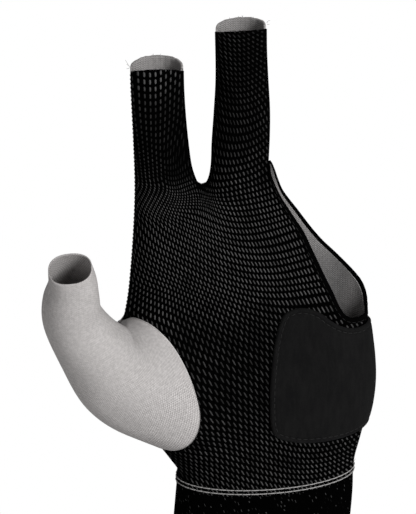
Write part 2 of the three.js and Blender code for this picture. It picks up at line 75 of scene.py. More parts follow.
# %% [markdown]
# ## Lines through a few points
# A pattern cutter draws a curve through a few marks. The same is done here: each edge is a short table of
# points, and a centripetal Catmull-Rom curve runs through them without loops or overshoot.

# %% Smooth lines


def smooth_line(table, count=160):
    """Points along a centripetal Catmull-Rom curve through the rows of a table."""
    marks = np.asarray(table, float)
    marks = np.vstack([2 * marks[0] - marks[1], marks, 2 * marks[-1] - marks[-2]])
    spans = len(marks) - 3
    place = np.linspace(0, spans, count + 1)
    span = np.minimum(place.astype(int), spans - 1)
    t = (place - span)[:, None]
    p0, p1, p2, p3 = (marks[span + k] for k in range(4))
    pairs = ((p0, p1), (p1, p2), (p2, p3))
    d0, d1, d2 = (np.sqrt(np.linalg.norm(b - a, axis=-1))[:, None] for a, b in pairs)
    leave = ((p1 - p0) / d0 - (p2 - p0) / (d0 + d1) + (p2 - p1) / d1) * d1
    arrive = ((p2 - p1) / d1 - (p3 - p1) / (d1 + d2) + (p3 - p2) / d2) * d1
    bend = -3 * p1 + 3 * p2 - 2 * leave - arrive
    ease = 2 * p1 - 2 * p2 + leave + arrive
    return p1 + leave * t + bend * t**2 + ease * t**3


def x_at(line, z):
    """x of a line at the heights z."""
    order = np.argsort(line[:, 1], kind="stable")
    return np.interp(z, line[order, 1], line[order, 0])


def distance_to(line, x, z):
    """Distance in the XZ plane from points to a line."""
    x, z = np.broadcast_arrays(np.asarray(x, float), np.asarray(z, float))
    least = np.full(x.shape, np.inf)
    for a, b in zip(line[:-1], line[1:]):
        dx, dz = b - a
        t = np.clip(((x - a[0]) * dx + (z - a[1]) * dz) / (dx * dx + dz * dz), 0, 1)
        least = np.minimum(least, np.hypot(x - a[0] - t * dx, z - a[1] - t * dz))
    return least


def lerp(a, b, t):
    return a + (b - a) * t


def smoothstep(value, low, high):
    t = np.clip((value - low) / (high - low), 0, 1)
    return t * t * (3 - 2 * t)


def band(value, start, full, easing, end):
    """Rises smoothly from 0 to 1 between start and full, and falls back between easing and end."""
    return smoothstep(value, start, full) * (1 - smoothstep(value, easing, end))


def unit(vectors):
    return vectors / np.maximum(np.linalg.norm(vectors, axis=-1, keepdims=True), 1e-12)


def eased(steps):
    """Shares from 0 to 1 that lie closer together at both ends."""
    return (1 - np.cos(np.pi * np.arange(steps + 1) / steps)) / 2


def run_along(points):
    """Distance travelled along a row of points."""
    return np.concatenate([[0], np.cumsum(np.linalg.norm(np.diff(points, axis=0), axis=1))])


def even_points(points, steps):
    """The same row of points at even distances."""
    run = run_along(points)
    goal = np.linspace(0, run[-1], steps + 1)
    return np.stack([np.interp(goal, run, points[:, k]) for k in range(3)], -1)


# %% [markdown]
# ## The form of the hand
# One outline in the XZ plane and a depth to the front and the back describe the worn hand. The depth changes
# with the height and rounds down to nothing at every edge, like a finger seen end on.

# %% Outline of the hand, x and z
THUMB_SIDE = [
    (-34, 0), (-33.1, 11), (-31.9, 25), (-31.6, 28.5), (-31.4, 30), (-32.2, 31.4), (-34.4, 34.5),
    (-36.4, 37.3), (-39.1, 41), (-44.6, 50), (-50.5, 63), (-53.6, 76), (-53.4, 87), (-51.3, 90.3),
    (-49.8, 96.8), (-48.5, 108), (-47.1, 127), (-46.6, 141), (-47, 158), (-47.8, 178), (-48, 190),
]
LITTLE_SIDE = [
    (33.6, 0), (34.7, 11), (35.4, 22), (35.5, 33), (36, 36.2), (37.2, 41), (38.4, 46), (39.7, 51), (41, 57),
    (41.8, 66), (41.4, 75), (40.3, 84), (39.4, 91), (39.9, 97.5), (40.4, 112), (41, 130), (41, 160),
]
GAP_INDEX_SIDE = [
    (-22.2, 141.7), (-23.5, 142.6), (-24.5, 144.8), (-25.7, 148.9), (-27, 158.9), (-27.9, 169), (-28.4, 178),
    (-28.6, 190),
]
GAP_MIDDLE_SIDE = [
    (-22.2, 141.7), (-20.8, 142.3), (-19.7, 144.4), (-18.9, 148.7), (-18.5, 158), (-17.7, 170), (-17.1, 182),
    (-17.5, 206),
]
SLIT_SIDE = [(2.4, 150), (2.8, 160), (2.8, 170), (2.1, 182), (1.6, 192), (1.4, 206)]
MIDLINE = [(-22.2, 141.7), (-12, 60), (-6, 20)]
OPENING_FRONT = [
    (39.4, 91), (36.4, 91.1), (33.7, 91.5), (31.1, 92.6), (28.9, 94.6), (27, 97.5), (23.8, 104.4),
    (20.9, 110.2), (18.3, 115.8), (15.9, 120.8), (13.4, 126.4), (10.5, 131.2), (8.1, 135.3), (5.8, 139.3),
    (4.2, 142.9), (3, 145.7), (2.2, 148.2), (2.4, 150),
]
OPENING_BACK = [
    (39.4, 91), (39.3, 94.2), (38.7, 97.6), (36.9, 101.1), (34.1, 104), (30.9, 106.9), (26.6, 110.9),
    (22.6, 114.7), (19, 118.8), (15.3, 123.7), (12.3, 128), (9.4, 132), (7, 135.9), (5.5, 140),
    (4.4, 143.8), (3.4, 147.2), (2.4, 150),
]
THUMB_SEAM_FRONT = [
    (-39.1, 41), (-36.9, 40.6), (-34.4, 41), (-31.3, 42.6), (-27.8, 45.4), (-24.5, 49.8), (-22.8, 54.6),
    (-22.4, 59.7), (-23.3, 65), (-25.2, 71.2), (-28, 77.6), (-31.5, 83.6), (-35.5, 88.5), (-40, 92.1),
    (-44, 93.5), (-47.5, 93.3), (-50.4, 91.1), (-53, 88),
]
THUMB_SEAM_BACK = [(-53, 88), (-50.6, 84), (-47, 76), (-43.8, 64), (-41.5, 53), (-40.2, 46), (-39.1, 41)]
WIDEST_THUMB_Z, WIDEST_LITTLE_Z = 76, 66

thumb_side = smooth_line(THUMB_SIDE)
little_side = smooth_line(LITTLE_SIDE)
gap_index_side = smooth_line(GAP_INDEX_SIDE, 60)
gap_middle_side = smooth_line(GAP_MIDDLE_SIDE, 60)
slit_side = smooth_line(SLIT_SIDE, 40)
midline = smooth_line(MIDLINE)
palm_width = x_at(little_side, WIDEST_LITTLE_Z) - x_at(thumb_side, WIDEST_THUMB_Z)
print("outline width at the palm, mm:", round(float(palm_width), 1))

# %% Depth of the hand
FRONT, BACK = -1, 1
SECTIONS = np.array([
    # z, front depth, back depth, thumb side radius, little finger side radius
    (0, 21, 21, 34, 34),
    (30, 21, 20.5, 33, 33),
    (45, 20.5, 17.5, 28, 28),
    (60, 19.5, 15.6, 22, 24),
    (80, 17, 14.3, 17, 20),
    (100, 14.8, 13.4, 15, 17),
    (120, 13.4, 12.8, 14, 15),
    (140, 11.6, 11.6, 12, 13),
    (155, 10, 10, 9.6, 10),
    (175, 9.6, 9.6, 9.5, 10),
    (205, 9.4, 9.4, 9.4, 10),
], float)
FINGER_RADIUS = 9.5
MOUND_X, MOUND_Z, MOUND_HEIGHT, MOUND_SPREAD = -36, 64, 5, 14
SLOPE_STEP = 0.05


def section_at(z, column):
    """One column of SECTIONS at the heights z, run smoothly through the rows."""
    heights = SECTIONS[:, 0]
    values = SECTIONS[:, column]
    before = np.maximum(np.arange(len(heights)) - 1, 0)
    after = np.minimum(np.arange(len(heights)) + 1, len(heights) - 1)
    slopes = (values[after] - values[before]) / (heights[after] - heights[before])
    i = np.clip(np.searchsorted(heights, z, side="left") - 1, 0, len(heights) - 2)
    span = heights[i + 1] - heights[i]
    t = np.clip((z - heights[i]) / span, 0, 1)
    rise = (3 - 2 * t) * t * t
    return (
        values[i] * (1 - rise) + values[i + 1] * rise
        + (t**3 - 2 * t**2 + t) * span * slopes[i] + (t**3 - t**2) * span * slopes[i + 1]
    )


def quarter_round(distance, radius):
    """0 at an edge, 1 once the distance has reached the radius."""
    return np.sqrt(1 - (1 - np.clip(distance / radius, 0, 1)) ** 2)


def depth_at(side, x, z):
    """How far the outer surface stands off the outline's plane."""
    x, z = np.broadcast_arrays(np.asarray(x, float), np.asarray(z, float))
    gap = np.minimum(distance_to(gap_index_side, x, z), distance_to(gap_middle_side, x, z))
    rounding = (
        quarter_round(x - x_at(thumb_side, z), section_at(z, 3))
        * quarter_round(x_at(little_side, z) - x, section_at(z, 4))
        * quarter_round(gap, FINGER_RADIUS)
        * quarter_round(distance_to(slit_side, x, z), FINGER_RADIUS)
    )
    if side == BACK:
        return section_at(z, 2) * rounding
    off = ((x - MOUND_X) ** 2 + (z - MOUND_Z) ** 2) / (2 * MOUND_SPREAD**2)
    return (section_at(z, 1) + MOUND_HEIGHT * np.exp(-off)) * rounding


def surface(side, x, z):
    """Points and outward normals of the hand's form over x and z."""
    points = np.stack([x, side * depth_at(side, x, z), z], -1)
    step = SLOPE_STEP
    along_x = (depth_at(side, x + step, z) - depth_at(side, x - step, z)) / (2 * step)
    along_z = (depth_at(side, x, z + step) - depth_at(side, x, z - step)) / (2 * step)
    return points, unit(np.stack([-along_x, np.full_like(along_x, side), -along_z], -1))


# %% [markdown]
# ## From a skin to a piece of cloth
# Cloth has two faces and a cut edge, so each piece starts as a grid of points on the form, and is doubled a
# little way inward and closed all round. A solidify modifier could do it. Doing it here keeps the seams
# square to the form's own normals, so that pieces which share an edge stay a hair apart and never cross.

# %% Grids, walls and meshes


def grid_faces(rows, columns, wrap=False):
    across = columns if wrap else columns - 1
    r, c = np.meshgrid(np.arange(rows - 1), np.arange(across), indexing="ij")
    after = (c + 1) % columns
    corners = [r * columns + c, r * columns + after, (r + 1) * columns + after, (r + 1) * columns + c]
    return np.stack([k.ravel() for k in corners], -1)


def weld(points, faces):
    """Points that coincide become one point. Also gives which points were kept."""
    _, kept, renumber = np.unique(np.round(points, 3), axis=0, return_index=True, return_inverse=True)
    return points[kept], renumber.reshape(-1)[faces], kept


def wall(skin, faces, normals, outer, inner):
    """Points and faces of a closed wall between two offsets from a skin."""
    count = len(skin)
    outer = np.broadcast_to(np.asarray(outer, float), count)[:, None]
    inner = np.broadcast_to(np.asarray(inner, float), count)[:, None]
    points = np.vstack([skin + normals * outer, skin + normals * inner])
    sides = np.concatenate([faces[:, [k, (k + 1) % 4]] for k in range(4)]).tolist()
    known = {(a, b) for a, b in sides}
    a, b = np.array([(a, b) for a, b in sides if (b, a) not in known]).T
    edge = np.stack([b, a, a + count, b + count], -1)
    return points, np.vstack([faces, faces[:, ::-1] + count, edge])


def end_caps(rings, count, start):
    """Triangles that close both ends of a tube of rings toward two points that follow its last ring."""
    caps = []
    last = start + (rings - 1) * count
    for k in range(count):
        after = (k + 1) % count
        caps.append([start + after, start + k, last + count])
        caps.append([last + k, last + after, last + count + 1])
    return caps


def face_out(points, faces):
    """Turns all faces round if the closed mesh is inside out."""
    a, b, c, d = (points[faces[:, k]] for k in range(4))
    volume = (a * (np.cross(b, c) + np.cross(c, d))).sum()
    return faces if volume > 0 else faces[:, ::-1]


def add_piece(name, points, faces, material, node=None, maps=None, body="root"):
    """Makes a smooth-shaded mesh object from points in millimetres, hangs it under its body and hides the CAD
    part it replaces.
    """
    mesh = bpy.data.meshes.new(name)
    mesh.from_pydata((points * MM).tolist(), [], faces.tolist() if isinstance(faces, np.ndarray) else faces)
    mesh.validate()
    for label, values in (maps or {}).items():
        layer = mesh.uv_layers.new(name=label)
        corners = np.zeros(len(mesh.loops), dtype=np.int32)
        mesh.loops.foreach_get("vertex_index", corners)
        layer.data.foreach_set("uv", np.asarray(values, float)[corners].ravel())
    mesh.shade_smooth()
    mesh.materials.append(material)
    piece = bpy.data.objects.new(name, mesh)
    bpy.context.scene.collection.objects.link(piece)
    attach(piece, body)
    if node:
        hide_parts(node)
    print(name, "vertices", len(mesh.vertices), "faces", len(mesh.polygons))
    return piece


def double(values):
    """The same map values for the outer and the inner face of a wall."""
    return np.vstack([values, values])


def face_map(shade, clear):
    """A map with the depth of painted shade, 0 on the outer face of a wall, and how clearly the knit shows.
    """
    outer = np.stack([np.zeros_like(clear), clear], -1)
    inner = np.stack([shade, np.ones_like(clear)], -1)
    return np.vstack([outer, inner])


# %% [markdown]
# ## Node helpers
# A material is a graph of small nodes. These helpers add a node, link it, and do arithmetic on sockets, so
# that each finish below reads as a short recipe.

# %% Node helpers


class Graph:
    """Short ways to add nodes to a tree."""

    def __init__(self, tree):
        self.tree = tree

    def add(self, kind, **settings):
        node = self.tree.nodes.new(kind)
        for key, value in settings.items():
            setattr(node, key, value)
        return node

    def feed(self, socket, value):
        if isinstance(value, bpy.types.NodeSocket):
            self.tree.links.new(value, socket)
        elif value is not None:
            socket.default_value = value

    def math(self, operation, *values):
        node = self.add("ShaderNodeMath", operation=operation)
        for socket, value in zip(node.inputs, values):
            self.feed(socket, value)
        return node.outputs[0]

    def ramp(self, value, low, high, to_low=0.0, to_high=1.0):
        node = self.add("ShaderNodeMapRange", interpolation_type="SMOOTHSTEP")
        for socket, item in zip(node.inputs, (value, low, high, to_low, to_high)):
            self.feed(socket, item)
        return node.outputs[0]

    def mix(self, factor, first, second):
        node = self.add("ShaderNodeMix", data_type="RGBA")
        self.feed(node.inputs[0], factor)
        self.feed(node.inputs[6], first)
        self.feed(node.inputs[7], second)
        return node.outputs[2]

    def split(self, vector):
        node = self.add("ShaderNodeSeparateXYZ")
        self.feed(node.inputs[0], vector)
        return node.outputs

    def noise(self, vector, scale, detail, roughness):
        node = self.add("ShaderNodeTexNoise")
        settings = {"Vector": vector, "Scale": scale, "Detail": detail, "Roughness": roughness}
        for label, value in settings.items():
            self.feed(node.inputs[label], value)
        return node.outputs[0]

    def place(self, group, **inputs):
        node = self.add("ShaderNodeGroup", node_tree=group)
        for key, value in inputs.items():
            self.feed(node.inputs[key.replace("_", " ")], value)
        return node.outputs

    def map(self, name):
        return self.add("ShaderNodeUVMap", uv_map=name).outputs[0]

    def here(self):
        return self.add("ShaderNodeTexCoord").outputs["Object"]


def new_group(name, inputs, outputs):
    """A shader node group with named sockets. Returns it, its graph, its inputs and its results."""
    group = bpy.data.node_groups.new(name, "ShaderNodeTree")
    kinds = {"value": "NodeSocketFloat", "place": "NodeSocketVector", "colour": "NodeSocketColor"}
    for label, (kind, value) in inputs.items():
        socket = group.interface.new_socket(name=label, in_out="INPUT", socket_type=kinds[kind])
        if value is not None:
            socket.default_value = value
    for label, kind in outputs.items():
        group.interface.new_socket(name=label, in_out="OUTPUT", socket_type=kinds[kind])
    graph = Graph(group)
    return group, graph, graph.add("NodeGroupInput").outputs, graph.add("NodeGroupOutput").inputs


def new_material(name, roughness, specular, sheen=0.0):
    """A material with a plain cloth shader. Returns the material, its graph and the shader's inputs."""
    material = bpy.data.materials.new(name)
    material.use_nodes = True
    graph = Graph(material.node_tree)
    shader = material.node_tree.nodes["Principled BSDF"].inputs
    shader["Roughness"].default_value = roughness
    shader["Specular IOR Level"].default_value = specular
    shader["Sheen Weight"].default_value = sheen
    shader["Sheen Roughness"].default_value = 0.5
    return material, graph, shader


def bump(graph, shader, height, distance, strength):
    """Feeds a height, in metres of relief at 1, to the shader's normal."""
    node = graph.add("ShaderNodeBump")
    node.inputs["Strength"].default_value = strength
    node.inputs["Distance"].default_value = distance
    graph.feed(node.inputs["Height"], height)
    graph.feed(shader["Normal"], node.outputs[0])


# %% [markdown]
# ## Shared effects
# Three effects are used by several materials, so each is a node group built once: dashes in rows, the small
# loops of a knit, and the soft unevenness that every cloth has.

# %% Dash group
DASH_SQUARENESS = 3.0
dash_group, g, given, result = new_group(
    "Dash rows",
    {
        "Place": ("place", None),
        "Lean": ("value", 0.0),
        "Length": ("value", 0.7),
        "Width": ("value", 0.4),
        "Softness": ("value", 0.25),
    },
    {"Mask": "value", "Height": "value", "Each": "value"},
)
u, v, _ = g.split(given["Place"])
across = g.math("SUBTRACT", g.math("FRACT", u), 0.5)
along = g.math("SUBTRACT", g.math("FRACT", v), 0.5)
across = g.math("ADD", across, g.math("MULTIPLY", given["Lean"], along))
powers = []
for way, extent in ((across, given["Width"]), (along, given["Length"])):
    share = g.math("DIVIDE", g.math("ABSOLUTE", way), g.math("MULTIPLY", extent, 0.5))
    powers.append(g.math("POWER", share, DASH_SQUARENESS))
reach = g.math("POWER", g.math("ADD", *powers), 1 / DASH_SQUARENESS)
edge_low = g.math("SUBTRACT", 1.0, given["Softness"])
edge_high = g.math("ADD", 1.0, given["Softness"])
g.feed(result["Mask"], g.ramp(reach, edge_low, edge_high, 1.0, 0.0))
g.feed(result["Height"], g.ramp(reach, 0.0, 1.2, 1.0, 0.0))
cell = g.add("ShaderNodeCombineXYZ")
g.feed(cell.inputs[0], g.math("FLOOR", u))
g.feed(cell.inputs[1], g.math("FLOOR", v))
pick = g.add("ShaderNodeTexWhiteNoise", noise_dimensions="3D")
g.feed(pick.inputs["Vector"], cell.outputs[0])
g.feed(result["Each"], pick.outputs["Value"])

# %% Knit group
LOOP_SLANT = 1.6
knit_group, g, given, result = new_group(
    "Knit loops",
    {"Place": ("place", None), "Loop width": ("value", 0.6), "Loop height": ("value", 0.45)},
    {"Mask": "value", "Height": "value"},
)
u, v, _ = g.split(given["Place"])
rib = g.math("DIVIDE", u, given["Loop width"])
course = g.math("DIVIDE", v, given["Loop height"])
fold = g.math("ABSOLUTE", g.math("SUBTRACT", g.math("FRACT", rib), 0.5))
slanted = g.math("ADD", course, g.math("MULTIPLY", fold, LOOP_SLANT))
wave = g.math("ABSOLUTE", g.math("SUBTRACT", g.math("FRACT", slanted), 0.5))
loops = g.ramp(wave, 0.05, 0.45)
valley = g.ramp(fold, 0.36, 0.5, 1.0, 0.25)
pattern = g.math("MULTIPLY", loops, valley)
g.feed(result["Mask"], pattern)
g.feed(result["Height"], pattern)

# %% Unevenness group
cloth_group, g, given, result = new_group(
    "Cloth unevenness",
    {"Place": ("place", None), "Patch scale": ("value", 60.0), "Fibre scale": ("value", 1500.0)},
    {"Patches": "value", "Fibres": "value"},
)
g.feed(result["Patches"], g.noise(given["Place"], given["Patch scale"], detail=3.0, roughness=0.55))
g.feed(result["Fibres"], g.noise(given["Place"], given["Fibre scale"], detail=2.0, roughness=0.6))
print("node groups:", [group.name for group in (dash_group, knit_group, cloth_group)])

# %% [markdown]
# ## Finishes
# Black cloth reflects very little, so its shine is kept low and the grey dashes carry the pattern. The jersey
# is a light warm grey with a fine knit. The suede is brushed: it has soft patches and a short nap.

# %% Black mesh knit
BLACK_YARN = (0.0007, 0.0007, 0.0007, 1)
# The dashes are the grey under-layer seen through the mesh's holes, painted darker for the shade inside the
# holes.
SHADED_DASH_GREY = (0.106, 0.104, 0.104, 1)
mesh_knit, g, shader = new_material("black_mesh_knit", roughness=0.95, specular=0.004)
# The Dash lean map's second value is the dash tone, which carries painted light and shade.
lean, tone, _ = g.split(g.map("Dash lean"))
dash = g.place(dash_group, Place=g.map("Knit"), Lean=lean, Length=0.58, Width=0.3, Softness=0.32)
cloth = g.place(cloth_group, Place=g.here(), Patch_scale=90.0)
by_place = g.ramp(cloth["Patches"], 0.3, 0.7, 0.8, 1.2)
by_dash = g.ramp(dash["Each"], 0, 1, 0.65, 1.3)
uneven = g.math("MULTIPLY", by_place, by_dash)
lit = g.math("MULTIPLY", g.math("MULTIPLY", dash["Mask"], tone), uneven)
g.feed(shader["Base Color"], g.mix(lit, BLACK_YARN, SHADED_DASH_GREY))
bump(g, shader, dash["Height"], distance=0.00025, strength=0.6)

# %% Grey jersey
JERSEY_LIGHT = (0.79, 0.757, 0.747, 1)
JERSEY_SHADE = (0.32, 0.305, 0.3, 1)
# Inner face colours: painted shade for the inside of the glove, mixed in by the Face map's depth of painted
# shade.
INSIDE_LIGHT = (0.3, 0.292, 0.29, 1)
INSIDE_SHADE = (0.1, 0.0975, 0.0965, 1)
KNIT_MEAN = 0.43
jersey, g, shader = new_material("grey_jersey", roughness=0.9, specular=0.15)
knit = g.place(knit_group, Place=g.map("Knit"), Loop_width=1.0, Loop_height=0.82)
cloth = g.place(cloth_group, Place=g.here(), Patch_scale=110.0, Fibre_scale=900.0)
depth_of_shade, clear, _ = g.split(g.map("Face"))
clear = g.math("MULTIPLY", clear, g.ramp(cloth["Patches"], 0.35, 0.65, 0.45, 1.0))
strength = g.math("MULTIPLY", g.math("SUBTRACT", knit["Mask"], KNIT_MEAN), clear)
fibres = g.ramp(cloth["Fibres"], 0.25, 0.75, -0.12, 0.12)
shade = g.math("ADD", g.math("ADD", strength, fibres), KNIT_MEAN)
outside = g.mix(shade, JERSEY_SHADE, JERSEY_LIGHT)
inside = g.mix(shade, INSIDE_SHADE, INSIDE_LIGHT)
g.feed(shader["Base Color"], g.mix(depth_of_shade, outside, inside))
bump(g, shader, knit["Height"], distance=0.0001, strength=0.4)

# %% Pad suede
SUEDE_DARK = (0.0068, 0.0068, 0.007, 1)
SUEDE_LIGHT = (0.0108, 0.0107, 0.0107, 1)
STREAK_STRETCH = (1, 1, 0.22)
suede, g, shader = new_material("pad_suede", roughness=0.9, specular=0.03, sheen=0.014)
cloth = g.place(cloth_group, Place=g.here(), Patch_scale=120.0, Fibre_scale=1400.0)
brushed = g.add("ShaderNodeVectorMath", operation="MULTIPLY")
g.feed(brushed.inputs[0], g.here())
brushed.inputs[1].default_value = STREAK_STRETCH
streaks = g.noise(brushed.outputs[0], 620.0, detail=3.0, roughness=0.6)
streaks = g.ramp(streaks, 0.3, 0.7, 0.0, 0.6)
patches = g.ramp(cloth["Patches"], 0.3, 0.72, 0.0, 0.35)
fibres = g.ramp(cloth["Fibres"], 0.2, 0.9, -0.2, 0.25)
nap = g.math("ADD", g.math("ADD", patches, fibres), streaks)
g.feed(shader["Base Color"], g.mix(nap, SUEDE_DARK, SUEDE_LIGHT))
bump(g, shader, cloth["Fibres"], distance=0.00012, strength=0.6)

# %% Binding tape
TAPE_DARK = (0.0009, 0.0009, 0.0009, 1)
TAPE_LIGHT = (0.0014, 0.0014, 0.0014, 1)
tape, g, shader = new_material("black_tape", roughness=0.9, specular=0.01)
knit = g.place(knit_group, Place=g.map("Knit"), Loop_width=0.5, Loop_height=0.5)
g.feed(shader["Base Color"], g.mix(knit["Mask"], TAPE_DARK, TAPE_LIGHT))
bump(g, shader, knit["Height"], distance=0.0001, strength=0.6)

# %% Cuff knit
CUFF_YARN = (0.0006, 0.0006, 0.0006, 1)
CUFF_FLECK = (0.05, 0.05, 0.05, 1)
cuff_knit, g, shader = new_material("cuff_knit", roughness=0.95, specular=0.004)
fleck = g.place(dash_group, Place=g.map("Knit"), Lean=0.6, Length=0.46, Width=0.28, Softness=0.3)
sparse = g.ramp(fleck["Each"], 0.7, 0.98)
g.feed(shader["Base Color"], g.mix(g.math("MULTIPLY", fleck["Mask"], sparse), CUFF_YARN, CUFF_FLECK))
bump(g, shader, fleck["Height"], distance=0.0002, strength=0.5)


# %% Threads


def thread_material(name, dark, light):
    """A twisted yarn, matte and uneven, between a dark and a light colour."""
    material, g, shader = new_material(name, roughness=0.6, specular=0.2)
    cloth = g.place(cloth_group, Place=g.here(), Patch_scale=900.0, Fibre_scale=3000.0)
    g.feed(shader["Base Color"], g.mix(cloth["Patches"], dark, light))
    bump(g, shader, cloth["Fibres"], distance=0.00005, strength=0.5)
    return material


white_thread = thread_material("white_thread", (0.27, 0.263, 0.256, 1), (0.56, 0.55, 0.54, 1))
grey_thread = thread_material("grey_thread", (0.30, 0.29, 0.29, 1), (0.48, 0.47, 0.46, 1))
# A pale thread colour, a painted highlight for the turned edge at the thumb's seam.
seam_highlight_thread = thread_material("seam_highlight_thread", (0.6, 0.58, 0.57, 1), (0.8, 0.78, 0.77, 1))
black_thread = thread_material("black_thread", (0.004, 0.004, 0.004, 1), (0.012, 0.012, 0.012, 1))
pad_thread = thread_material("pad_thread", (0.0095, 0.0095, 0.0095, 1), (0.016, 0.016, 0.016, 1))
print("materials:", [m.name for m in bpy.data.materials])

# %% [markdown]
# ## How the dashes run over the palm
# The knit is cut flat, with dashes in straight rows and columns, and is then stretched over the hand. Its
# rows droop round the foot of the fingers and its columns spread toward the wrist. Instead of a flattening
# simulation, each point follows its row back to an axis, and counts how many rows lie below it there. A
# short table gives how steeply the rows run at seven stations across the hand.

# %% Rows and columns of dashes
STATIONS = (-42, -32, -22, -11, 0, 12, 26)
INDEX_STATIONS = (-44, -40, -36, -32, -28)
ROW_TILT = [
    # z, then the rise of a row per millimetre at each station
    (32, 0, -0.1, -0.25, -0.28, -0.24, -0.17, 0.1),
    (42, 0, 0, -0.06, -0.28, -0.26, -0.22, 0.05),
    (50, -0.1, -0.1, -0.12, -0.2, -0.24, -0.22, 0),
    (64, -0.3, -0.35, -0.36, -0.36, -0.36, -0.2, 0),
    (78, -0.4, -0.5, -0.49, -0.43, -0.36, -0.2, 0),
    (94, -0.3, -0.52, -0.53, -0.43, -0.26, -0.05, 0.1),
    (105, -0.24, -0.47, -0.42, -0.3, -0.08, 0.15, 0.2),
    (116, -0.45, -0.5, -0.44, -0.24, 0.02, 0.3, 0.25),
    (128, -0.9, -0.6, -0.28, -0.04, 0.28, 0.4, 0.35),
    (140, -0.9, -0.5, -0.1, 0.2, 0.28, 0.35, 0.3),
    (150, -0.6, -0.3, -0.2, 0, 0.3, 0.3, 0.3),
    (165, 0, 0, -0.35, -0.08, 0.42, 0.4, 0.4),
    (200, 0, 0, -0.35, -0.05, 0.48, 0.5, 0.5),
]
INDEX_TILT = [
    (142, -0.1, 0, 0.1, 0.15, 0.2),
    (150, 0, 0.05, 0.2, 0.3, 0.3),
    (160, 0, 0.1, 0.5, 0.75, 0.8),
    (186, 0, 0.1, 0.6, 0.9, 0.95),
]
ROW_PITCH = [
    # z on the axis, row pitch there
    (20, 2.3), (36, 2.4), (43, 2.3), (50, 2.15), (64, 2.55), (78, 2.6), (94, 2.2), (105, 2.1), (116, 2.33),
    (128, 2.3), (140, 2.4), (155, 2.6), (167, 3.0), (175, 2.4), (183, 1.95), (194, 1.7), (210, 1.6),
]
INDEX_ROW_PITCH = [
    (130, 1.7), (140, 1.6), (146, 1.35), (152, 1.4), (159, 1.87), (165, 2.1), (171, 2.33), (178, 2.6),
    (195, 2.75),
]
COLUMN_PITCH = [
    (20, 1.9), (43, 1.95), (50, 2.1), (64, 2.2), (78, 2.2), (94, 1.95), (105, 1.6), (116, 1.5), (128, 1.36),
    (140, 1.4), (155, 1.45), (167, 1.27), (183, 1.55), (200, 1.8),
]
INDEX_COLUMN_PITCH = [(130, 1.35), (148, 1.3), (159, 1.55), (171, 1.92), (186, 2.15)]
COLUMN_CENTRE = [(20, 2), (110, 2), (150, -4), (210, -4)]
PALM_AXIS, INDEX_AXIS = -5, -42
ROW_STEPS = 20
CROWDING, CROWDING_START, CROWDING_EASE = 0.14, -4, 3
SWAY, SWAY_ROWS, SWAY_LOW, SWAY_HIGH = 9, 3.5, 128, 148
SWAY_FADE = (-38, -27)
INDEX_CROWDING, INDEX_CROWDED = 0.0064, (150, 165)
MEET_Z, MEET_SPAN, MEET_DRIFT = 142.5, 6, 26
GAP_X = -22.2
GATHER_X, GATHER_Z = -20.3, 139.8
GATHER, GATHER_REACH = 1.6, 5

# %% Lean and tone of dashes
DASH_ANGLE = [
    # z, degrees that a dash leans from upright at the index finger's side and at the rest of the hand
    (25, 30, 30), (90, 28, 28), (128, 24, 27), (145, 12, 24), (155, -6, 20), (170, 0, 20), (185, 3, 32),
    (205, 3, 42),
]
# Dash tone is partly the knit's stretch and partly painted light and shade where the cloth faces toward or
# away from the lamp.
DASH_TONE = [
    # z, then how light the dashes are there
    (30, 0.85), (40, 0.65), (52, 0.55), (62, 0.3), (88, 0.36), (104, 0.9), (118, 1.1), (138, 1), (150, 0.5),
    (160, 0.28), (180, 0.17), (205, 0.22),
]
INDEX_TONE = [(138, 0.9), (147, 0.42), (156, 0.26), (168, 0.24), (178, 0.6), (184, 1.5), (190, 1.9)]
INDEX_FADE = (-44, -30, 1, 0.35)
MIDDLE_FADE, MIDDLE_FADE_Z = (-15, -6, 1.9, 0.8), (176, 192)
TONE_CHANGES = [
    # z where a change starts, is full, eases off and ends, then the fade across x that it makes there
    ((0, 1, 40, 56), (-36, -22, 0.25, 1)),
    ((56, 70, 128, 142), (-42, -28, 1.35, 1)),
    ((134, 144, 158, 166), (-5, 2, 1, 0.75)),
]
# Painted shade on the dashes round the foot of the gap between the tubes.
FOOT_X, FOOT_Z, FOOT_SHADE, FOOT_REACH = -29, 146, 0.3, (4, 15)
PLAIN_EDGE = (0.2, 1.1)
INDEX_SIDE = (-30, -20)
LEAN_STEP, LEAN_MOST = 0.2, 0.8

# %% Counting rows and columns


def net(table, stations, x, z):
    """Value of a table with one row for each height and one column for each station, smooth in between."""
    rows = np.asarray(table, float)
    place = np.interp(z, rows[:, 0], np.arange(len(rows)))
    low = np.clip(place.astype(int), 0, len(rows) - 2)
    t = smoothstep(place - low, 0, 1)
    across = np.interp(x, stations, np.arange(len(stations)))
    left = np.clip(across.astype(int), 0, len(stations) - 2)
    s = across - left
    pick = lambda row: rows[row, 1 + left] * (1 - s) + rows[row, 2 + left] * s
    return pick(low) * (1 - t) + pick(low + 1) * t


def read(table, z):
    """Value at the heights z of a table of heights and values."""
    return np.interp(z, *np.array(table, float).T)


def fade(value, table):
    """Runs smoothly from a first amount to a last one while a value passes from low to high."""
    low, high, first, last = table
    return lerp(first, last, smoothstep(value, low, high))


def count_along(table, z):
    """How many steps of a changing pitch lie below z."""
    heights = np.linspace(table[0][0], table[-1][0], 400)
    pitch = read(table, heights)
    counts = np.concatenate([[0], np.cumsum(np.diff(heights) * 2 / (pitch[1:] + pitch[:-1]))])
    return np.interp(z, heights, counts)


def follow_row(tilt, stations, axis, x, z):
    """Height at which the row through each point crosses the axis."""
    stride = (axis - x) / ROW_STEPS
    for _ in range(ROW_STEPS):
        z = z + net(tilt, stations, x, z) * stride
        x = x + stride
    return z


